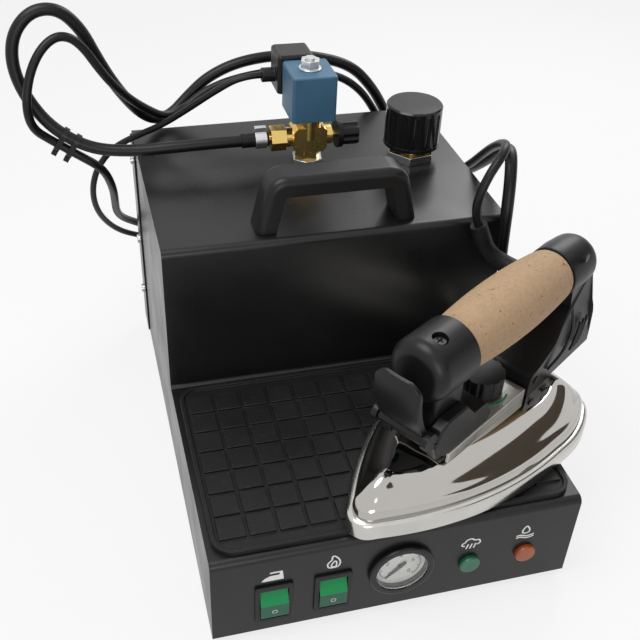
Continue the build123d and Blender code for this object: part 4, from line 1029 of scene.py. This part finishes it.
def sole_outline():
    """The sole's outline round from its nose, in the iron's own millimetres."""
    right = arc_points((0, 0), (2.4, -7.2), (9, -12.5), 14)
    right += arc_points((9, -12.5), (60, -42.5), (150, -60.5), 52)
    right += arc_points((150, -60.5), (182, -57.5), (203, -47), 20)
    right += arc_points((203, -47), (209.8, -24), (212, 0), 18)
    left = [Vector((point.x, -point.y)) for point in reversed(right[1:])]
    line = right + [Vector((212, 0))] + left
    for _ in range(5):
        line = [(line[order - 1] + 2 * line[order] + line[(order + 1) % len(line)]) / 4
                for order in range(len(line))]
    return line


sole_length = 212.0
spine_start, spine_end = 40.0, 160.0


def between(rings, steps):
    """Many rings on a smooth curve that is drawn towards the given ones."""
    places = [Vector(ring) for ring in rings]
    places = [2 * places[0] - places[1]] + places + [2 * places[-1] - places[-2]]
    closer = []
    for order in range(len(places) - 3):
        for step in range(steps):
            share = step / steps
            weights = ((1 - share) ** 3, 3 * share ** 3 - 6 * share ** 2 + 4,
                       -3 * share ** 3 + 3 * share ** 2 + 3 * share + 1, share ** 3)
            spot = Vector((0, 0))
            for weight, place in zip(weights, places[order:order + 4]):
                spot += place * weight / 6
            closer.append(spot)
    return closer + [Vector(rings[-1])]


def loft(name, rings):
    """A shell from the sole's outline: each ring is drawn in towards the iron's spine and raised."""
    outline = sole_outline()
    shape = bmesh.new()
    loops = []
    for inset, height in rings:
        loop = []
        for point in outline:
            spine = Vector((spine_start + point.x * (spine_end - spine_start) / sole_length, 0))
            inward = spine - point
            share = min(inset / inward.length, 0.97)
            spot = point + inward * share
            loop.append(shape.verts.new((spot.x, spot.y, height)))
        loops.append(loop)
    for lower, upper in zip(loops, loops[1:]):
        for order in range(len(lower)):
            shape.faces.new((lower[order - 1], lower[order], upper[order], upper[order - 1]))
    shape.faces.new(loops[0][::-1])
    shape.faces.new(loops[-1])
    bmesh.ops.recalc_face_normals(shape, faces=shape.faces)
    return mesh_of(shape, name, iron_place())


class STEAMIRON_OT_sole(bpy.types.Operator):
    """Shape the soleplate and its chrome cover, and finish the bracket plate and the dial."""
    bl_idname = "steam_iron.sole"
    bl_label = "Soleplate and cover"

    def execute(self, context):
        sole_rings = [(1.2, 0), (0.3, 0.4), (0, 1.3), (0, 8.6), (0.25, 10.4), (0.9, 11.9), (2.0, 12.8),
                      (3.4, 13.0), (12, 13.0)]
        sole = new_piece("soleplate_finished", loft("sole", sole_rings), sole_metal(), "iron",
                         "aluminium", "soleplate")
        smooth(sole, 40.0, flats=False)
        cover_rings = [(8.5, 13.0), (4.4, 13.0), (4.4, 13.6), (4.7, 17.0), (5.8, 20.0), (7.8, 22.0),
                       (10.0, 23.6), (12.6, 26.4), (15.8, 29.4), (20.0, 32.6), (25.0, 34.8), (31.0, 36.0),
                       (38.0, 36.0)]
        rings = cover_rings[:1] + between(cover_rings[1:], 5)
        cover = new_piece("iron_cover_finished", loft("cover", rings), chrome(), "iron", "chrome",
                          "iron_cover")
        smooth(cover, 50.0, flats=False)
        dressed("handle_bracket", plate_metal(), "brushed", 0.3)
        dressed("thermostat_knob", black_plastic(), "black_plastic", 0.5, 35.0, 3)
        arc = [(18.5 * cos(radians(turn)), 18.5 * sin(radians(turn))) for turn in range(-150, -55, 12)]
        flat_print("dial_range", [arc], iron_place(128, 0, 44.0), green_printing(), "iron", 1.5)
        return {"FINISHED"}


def turned(name, profile, steps, place):
    """A shape spun from its profile of distances along the iron and radii, closed at its ends."""
    shape = bmesh.new()
    line = [shape.verts.new((u, 0, r)) for u, r in profile]
    edges = [shape.edges.new(pair) for pair in zip(line, line[1:])]
    bmesh.ops.spin(shape, geom=line + edges, cent=(0, 0, 0), axis=(1, 0, 0), angle=2 * pi, steps=steps,
                   use_merge=True)
    bmesh.ops.remove_doubles(shape, verts=shape.verts, dist=0.001)
    bmesh.ops.recalc_face_normals(shape, faces=shape.faces)
    return mesh_of(shape, name, place)


grip_from, grip_to, grip_end_r, grip_middle_r, grip_height = 84.0, 198.0, 18.5, 22.0, 104.0
trigger_pivot = (42.0, 66.0)


def grip_radius(share):
    """The cork grip's radius along its length, fullest in the middle."""
    return grip_end_r + (grip_middle_r - grip_end_r) * (1 - (2 * share - 1) ** 2)


def housing_width(u, w):
    """How wide the rear housing is at a place on its side, as a share of its widest."""
    slim = 0.86 + 0.14 * cos(pi * min(max((w - 64) / 28, 0), 1))
    return slim * (1 - 0.14 * min(max((u - 205) / 33, 0), 1))


def follow_housing(mesh):
    """Move what lies on the rear housing's sides in with them."""
    mesh.transform(iron_place().inverted())
    for vertex in mesh.vertices:
        if abs(vertex.co.y) > 20:
            vertex.co.y *= housing_width(vertex.co.x, vertex.co.z)
    mesh.transform(iron_place())


def half_cap(shape, side):
    """Half of the round cap behind the grip, which ends in a dome."""
    profile = [(198.2, 0), (198.2, 18.3), (199.0, 19.0), (212, 19.4), (224, 18.6)]
    dome = [radians(turn) for turn in range(15, 91, 15)]
    profile += [(224 + 11.5 * sin(turn), 6 + 12.6 * cos(turn)) for turn in dome]
    profile.append((235.5, 0))
    line = [shape.verts.new((u, 0, grip_height + r)) for u, r in profile]
    edges = [shape.edges.new(pair) for pair in zip(line, line[1:])]
    bmesh.ops.spin(shape, geom=line + edges, cent=(0, 0, grip_height), axis=(1, 0, 0), angle=-side * pi,
                   steps=28, use_merge=False)


def housing_half(side):
    """Half of the rear housing: its side profile given its width, with a full rim."""
    outline = [
        (151, 36.3), (151, 52), (172, 60), (190, 78), (200, 84), (200, 106), (224, 106), (233, 98),
        (231, 84), (238, 52), (238, 36.3),
    ]
    rounding = {1: 5, 2: 14, 3: 10, 5: 4, 6: 7, 7: 6, 8: 20, 9: 16}
    shape = bmesh.new()
    corners = [shape.verts.new((u, 0, w)) for u, w in outline]
    shape.faces.new(corners)
    for index, radius in rounding.items():
        bmesh.ops.bevel(shape, geom=[corners[index]], offset=radius, segments=6, profile=0.5,
                        affect="VERTICES", material=-1)
    raised(shape, shape.faces[:], (0, side * 23.9, 0))
    bmesh.ops.translate(shape, verts=shape.verts, vec=(0, side * 0.1, 0))
    rim = [edge for edge in shape.edges if all(abs(vertex.co.y) > 20 for vertex in edge.verts)]
    bmesh.ops.bevel(shape, geom=rim, offset=details().rim, segments=5, profile=0.5, affect="EDGES",
                    material=-1, clamp_overlap=True)
    seam = [edge for edge in shape.edges if all(abs(vertex.co.y) < 1 for vertex in edge.verts)]
    bmesh.ops.bevel(shape, geom=seam, offset=0.5, segments=1, profile=0.5, affect="EDGES", material=-1,
                    clamp_overlap=True)
    for vertex in shape.verts:
        vertex.co.y *= housing_width(vertex.co.x, vertex.co.z)
    half_cap(shape, side)
    bmesh.ops.recalc_face_normals(shape, faces=shape.faces)
    return mesh_of(shape, "housing", iron_place())


class STEAMIRON_OT_handle(bpy.types.Operator):
    """Shape the cork grip, the rear housing and the bend guard, and finish the handle's front."""
    bl_idname = "steam_iron.handle"
    bl_label = "Iron handle"

    def execute(self, context):
        edge = details().plastic_edge
        self.grip()
        for node in ("front_cap", "microswitch_case"):
            dressed(node, black_plastic(), "black_plastic", edge, 25.0, 3)
        self.lever()
        self.switch_block()
        follow_housing(dressed("iron_screws", black_plastic(), "zinc", 0.2).data)
        repaint(zinc(), "handle_rod")
        for side, node in ((-1, "rear_housing_right"), (1, "rear_housing_left")):
            half = new_piece(node + "_finished", housing_half(side), black_plastic(), "iron",
                             "black_plastic", node)
            smooth(half, 40.0)
        self.ribs()
        self.socket()
        self.guard()
        return {"FINISHED"}

    def grip(self):
        """The turned cork grip with rounded ends."""
        ends = details().cork_ends
        steps = 24
        profile = [(grip_from, 6.5), (grip_from, grip_radius(0) - ends)]
        for step in range(1, 6):
            angle = step / 6 * pi / 2
            profile.append((grip_from + ends * (1 - cos(angle)), grip_radius(0) - ends * (1 - sin(angle))))
        for step in range(1, steps):
            share = step / steps
            profile.append((grip_from + (grip_to - grip_from) * share, grip_radius(share)))
        for step in range(5, 0, -1):
            angle = step / 6 * pi / 2
            profile.append((grip_to - ends * (1 - cos(angle)), grip_radius(1) - ends * (1 - sin(angle))))
        profile += [(grip_to, grip_radius(1) - ends), (grip_to, 6.5), (grip_from, 6.5)]
        mesh = turned("cork", profile, details().grip_sides, iron_place(0, 0, grip_height))
        piece = new_piece("cork_grip_finished", mesh, cork(), "iron", "cork", "cork_grip")
        smooth(piece, 60.0, flats=False)

    def lever(self):
        """The trigger: a thick curved lever with a rounded top, on its barrel."""
        stations, columns = 20, 12
        shape = bmesh.new()
        rows = []
        for step in range(stations + 1):
            share = step / stations
            u = trigger_pivot[0] - 1 - 27 * share + 17 * share * share
            w = trigger_pivot[1] + 46.5 * share
            half = 17 - 8 * max((share - 0.8) / 0.2, 0) ** 2.5
            thick = 5.2 - 2.0 * share
            front = []
            back = []
            for column in range(columns + 1):
                v = half * (2 * column / columns - 1)
                crown = 1.6 * (1 - (v / 17) ** 2) * min(share * 4, 1)
                front.append(shape.verts.new((u - crown, v, w)))
                back.append(shape.verts.new((u - crown + thick, v, w)))
            rows.append(front + back[::-1])
        for lower, upper in zip(rows, rows[1:]):
            for order in range(len(lower)):
                after = (order + 1) % len(lower)
                shape.faces.new((lower[order], lower[after], upper[after], upper[order]))
        shape.faces.new(rows[0])
        shape.faces.new(rows[-1])
        barrel = bmesh.ops.create_cone(shape, cap_ends=True, segments=32, radius1=4.6, radius2=4.6,
                                       depth=34)
        bmesh.ops.rotate(shape, verts=barrel["verts"], matrix=Matrix.Rotation(pi / 2, 3, "X"))
        bmesh.ops.translate(shape, verts=barrel["verts"], vec=(trigger_pivot[0], 0, trigger_pivot[1]))
        bmesh.ops.recalc_face_normals(shape, faces=shape.faces)
        mesh = mesh_of(shape, "trigger", iron_place())
        body = frame["nodes"]["trigger"]["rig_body"]
        piece = new_piece("trigger_finished", mesh, black_plastic(), body, "black_plastic", "trigger")
        smooth(piece, 50.0, 0.8, 3)

    def switch_block(self):
        """The microswitch's boxy cheeks beside the cap's post, bevelled along their tops."""
        outline = [(50, 46), (46, 58), (51, 69), (58, 73), (78, 73), (86, 64), (92, 56), (92, 46)]
        for side in (-1, 1):
            shape = bmesh.new()
            corners = [shape.verts.new((u, side * 14.4, w)) for u, w in outline]
            raised(shape, [shape.faces.new(corners)], (0, side * 8.2, 0))
            rim = [edge for edge in shape.edges if all(abs(vertex.co.y) > 20 for vertex in edge.verts)]
            bmesh.ops.bevel(shape, geom=rim, offset=2.2, segments=2, profile=0.5, affect="EDGES",
                            material=-1, clamp_overlap=True)
            bmesh.ops.recalc_face_normals(shape, faces=shape.faces)
            mesh = mesh_of(shape, "switch_cheek", iron_place())
            name = "switch_cheek_left" if side > 0 else "switch_cheek_right"
            smooth(new_piece(name, mesh, black_plastic(), "iron", "black_plastic"), 25.0, 0.5)

    def ribs(self):
        """Raised finger ribs low on each side of the housing, and one curved rib before them."""
        for side in (-1, 1):
            lines = []
            for order in range(3):
                u = 211 + order * 5.5
                lines.append([(u - 7, side * 23.6, 47), (u, side * 24.2, 55), (u + 3, side * 23.6, 66)])
            lines.append([(176, side * 23.4, 46), (190, side * 24.4, 50), (200, side * 24.4, 64),
                          (204, side * 23.4, 84)])
            holder = curve_object("housing_ribs", "NURBS", lines)
            holder.data.bevel_depth = 1.1
            holder.data.bevel_resolution = 4
            holder.data.use_fill_caps = True
            mesh = curve_mesh(holder)
            mesh.transform(iron_place())
            follow_housing(mesh)
            name = "housing_ribs_left" if side > 0 else "housing_ribs_right"
            piece = new_piece(name, mesh, black_plastic(), "iron", "black_plastic")
            smooth(piece, 60.0)

    def socket(self):
        """The boss on the housing that takes the hose."""
        shape = bmesh.new()
        bmesh.ops.create_cone(shape, cap_ends=True, segments=40, radius1=8.2, radius2=6.4, depth=17)
        bmesh.ops.translate(shape, verts=shape.verts, vec=(0, 0, 3.5))
        rim = [edge for edge in shape.edges if all(vertex.co.z > 11 for vertex in edge.verts)]
        bmesh.ops.bevel(shape, geom=rim, offset=1.2, segments=3, profile=0.5, affect="EDGES", material=-1)
        turn = hose_way.to_track_quat("Z", "Y").to_matrix().to_4x4()
        place = Matrix.Translation(at(*hose_seat)) @ turn @ Matrix.Scale(MM, 4)
        mesh = mesh_of(shape, "hose_socket", place)
        piece = new_piece("hose_socket", mesh, black_plastic(), "iron", "black_plastic")
        smooth(piece, 40.0)

    def guard(self):
        """The smooth rubber guard that leads the cable out of the housing, with its collar."""
        route = [tuple(at(*place)) for place in guard_out] + [tuple(at(*cable_end))]
        line = curve_mesh(curve_object("guard_line", "NURBS", [route]))
        places = [vertex.co.copy() for vertex in line.vertices]
        holder = curve_object("guard", "POLY", [places])
        holder.data.bevel_depth = 7.0 * MM
        holder.data.bevel_resolution = 6
        holder.data.use_fill_caps = True
        last = len(places) - 1
        for order, point in enumerate(holder.data.splines[0].points):
            point.radius = 1 - 0.12 * order / last
        mesh = curve_mesh(holder)
        piece = new_piece("bend_guard_finished", mesh, mat_rubber(), "iron", "rubber", "bend_guard")
        smooth(piece, 50.0)


class STEAMIRON_OT_hidden(bpy.types.Operator):
    """Finish the parts inside the cabinet, the valve and the iron."""
    bl_idname = "steam_iron.hidden"
    bl_label = "Inner parts"

    def execute(self, context):
        repaint(inner_steel(), "boiler_tank", "heating_element", "armature_tube", "valve_plunger",
                "plunger_spring", "sole_heater")
        repaint(insulation(), "boiler_jacket")
        repaint(zinc(), "boiler_saddles")
        repaint(black_plastic(), "boiler_thermostat", "pressure_switch", "iron_thermostat")
        return {"FINISHED"}


class STEAMIRON_PT_panel(bpy.types.Panel):
    """Lists the steps that finish the steam generator iron."""
    bl_label = "Steam Iron"
    bl_idname = "STEAMIRON_PT_panel"
    bl_space_type = "VIEW_3D"
    bl_region_type = "UI"
    bl_category = "Steam Iron"

    def draw(self, context):
        for operator in operators:
            self.layout.operator(operator.bl_idname)
        for settings in (context.scene.steam_iron_finishes, context.scene.steam_iron_details):
            for name in settings.bl_rna.properties.keys():
                if name not in ("rna_type", "name"):
                    self.layout.prop(settings, name)


operators = (
    STEAMIRON_OT_stage, STEAMIRON_OT_cords, STEAMIRON_OT_cabinet, STEAMIRON_OT_rest_mat,
    STEAMIRON_OT_panel, STEAMIRON_OT_gauge, STEAMIRON_OT_filler, STEAMIRON_OT_valve,
    STEAMIRON_OT_sole, STEAMIRON_OT_handle, STEAMIRON_OT_hidden,
)
classes = (FinishSettings, DetailSettings, *operators, STEAMIRON_PT_panel)


def register():
    for item in classes:
        bpy.utils.register_class(item)
    bpy.types.Scene.steam_iron_finishes = PointerProperty(type=FinishSettings)
    bpy.types.Scene.steam_iron_details = PointerProperty(type=DetailSettings)


def unregister():
    del bpy.types.Scene.steam_iron_details
    del bpy.types.Scene.steam_iron_finishes
    for item in reversed(classes):
        bpy.utils.unregister_class(item)


def main():
    """Finish the whole object."""
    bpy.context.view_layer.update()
    register()
    steps = bpy.ops.steam_iron
    steps.stage()
    steps.cords()
    steps.cabinet()
    steps.rest_mat()
    steps.panel()
    steps.gauge()
    steps.filler()
    steps.valve()
    steps.sole()
    steps.handle()
    steps.hidden()


if __name__ == "__main__":
    main()
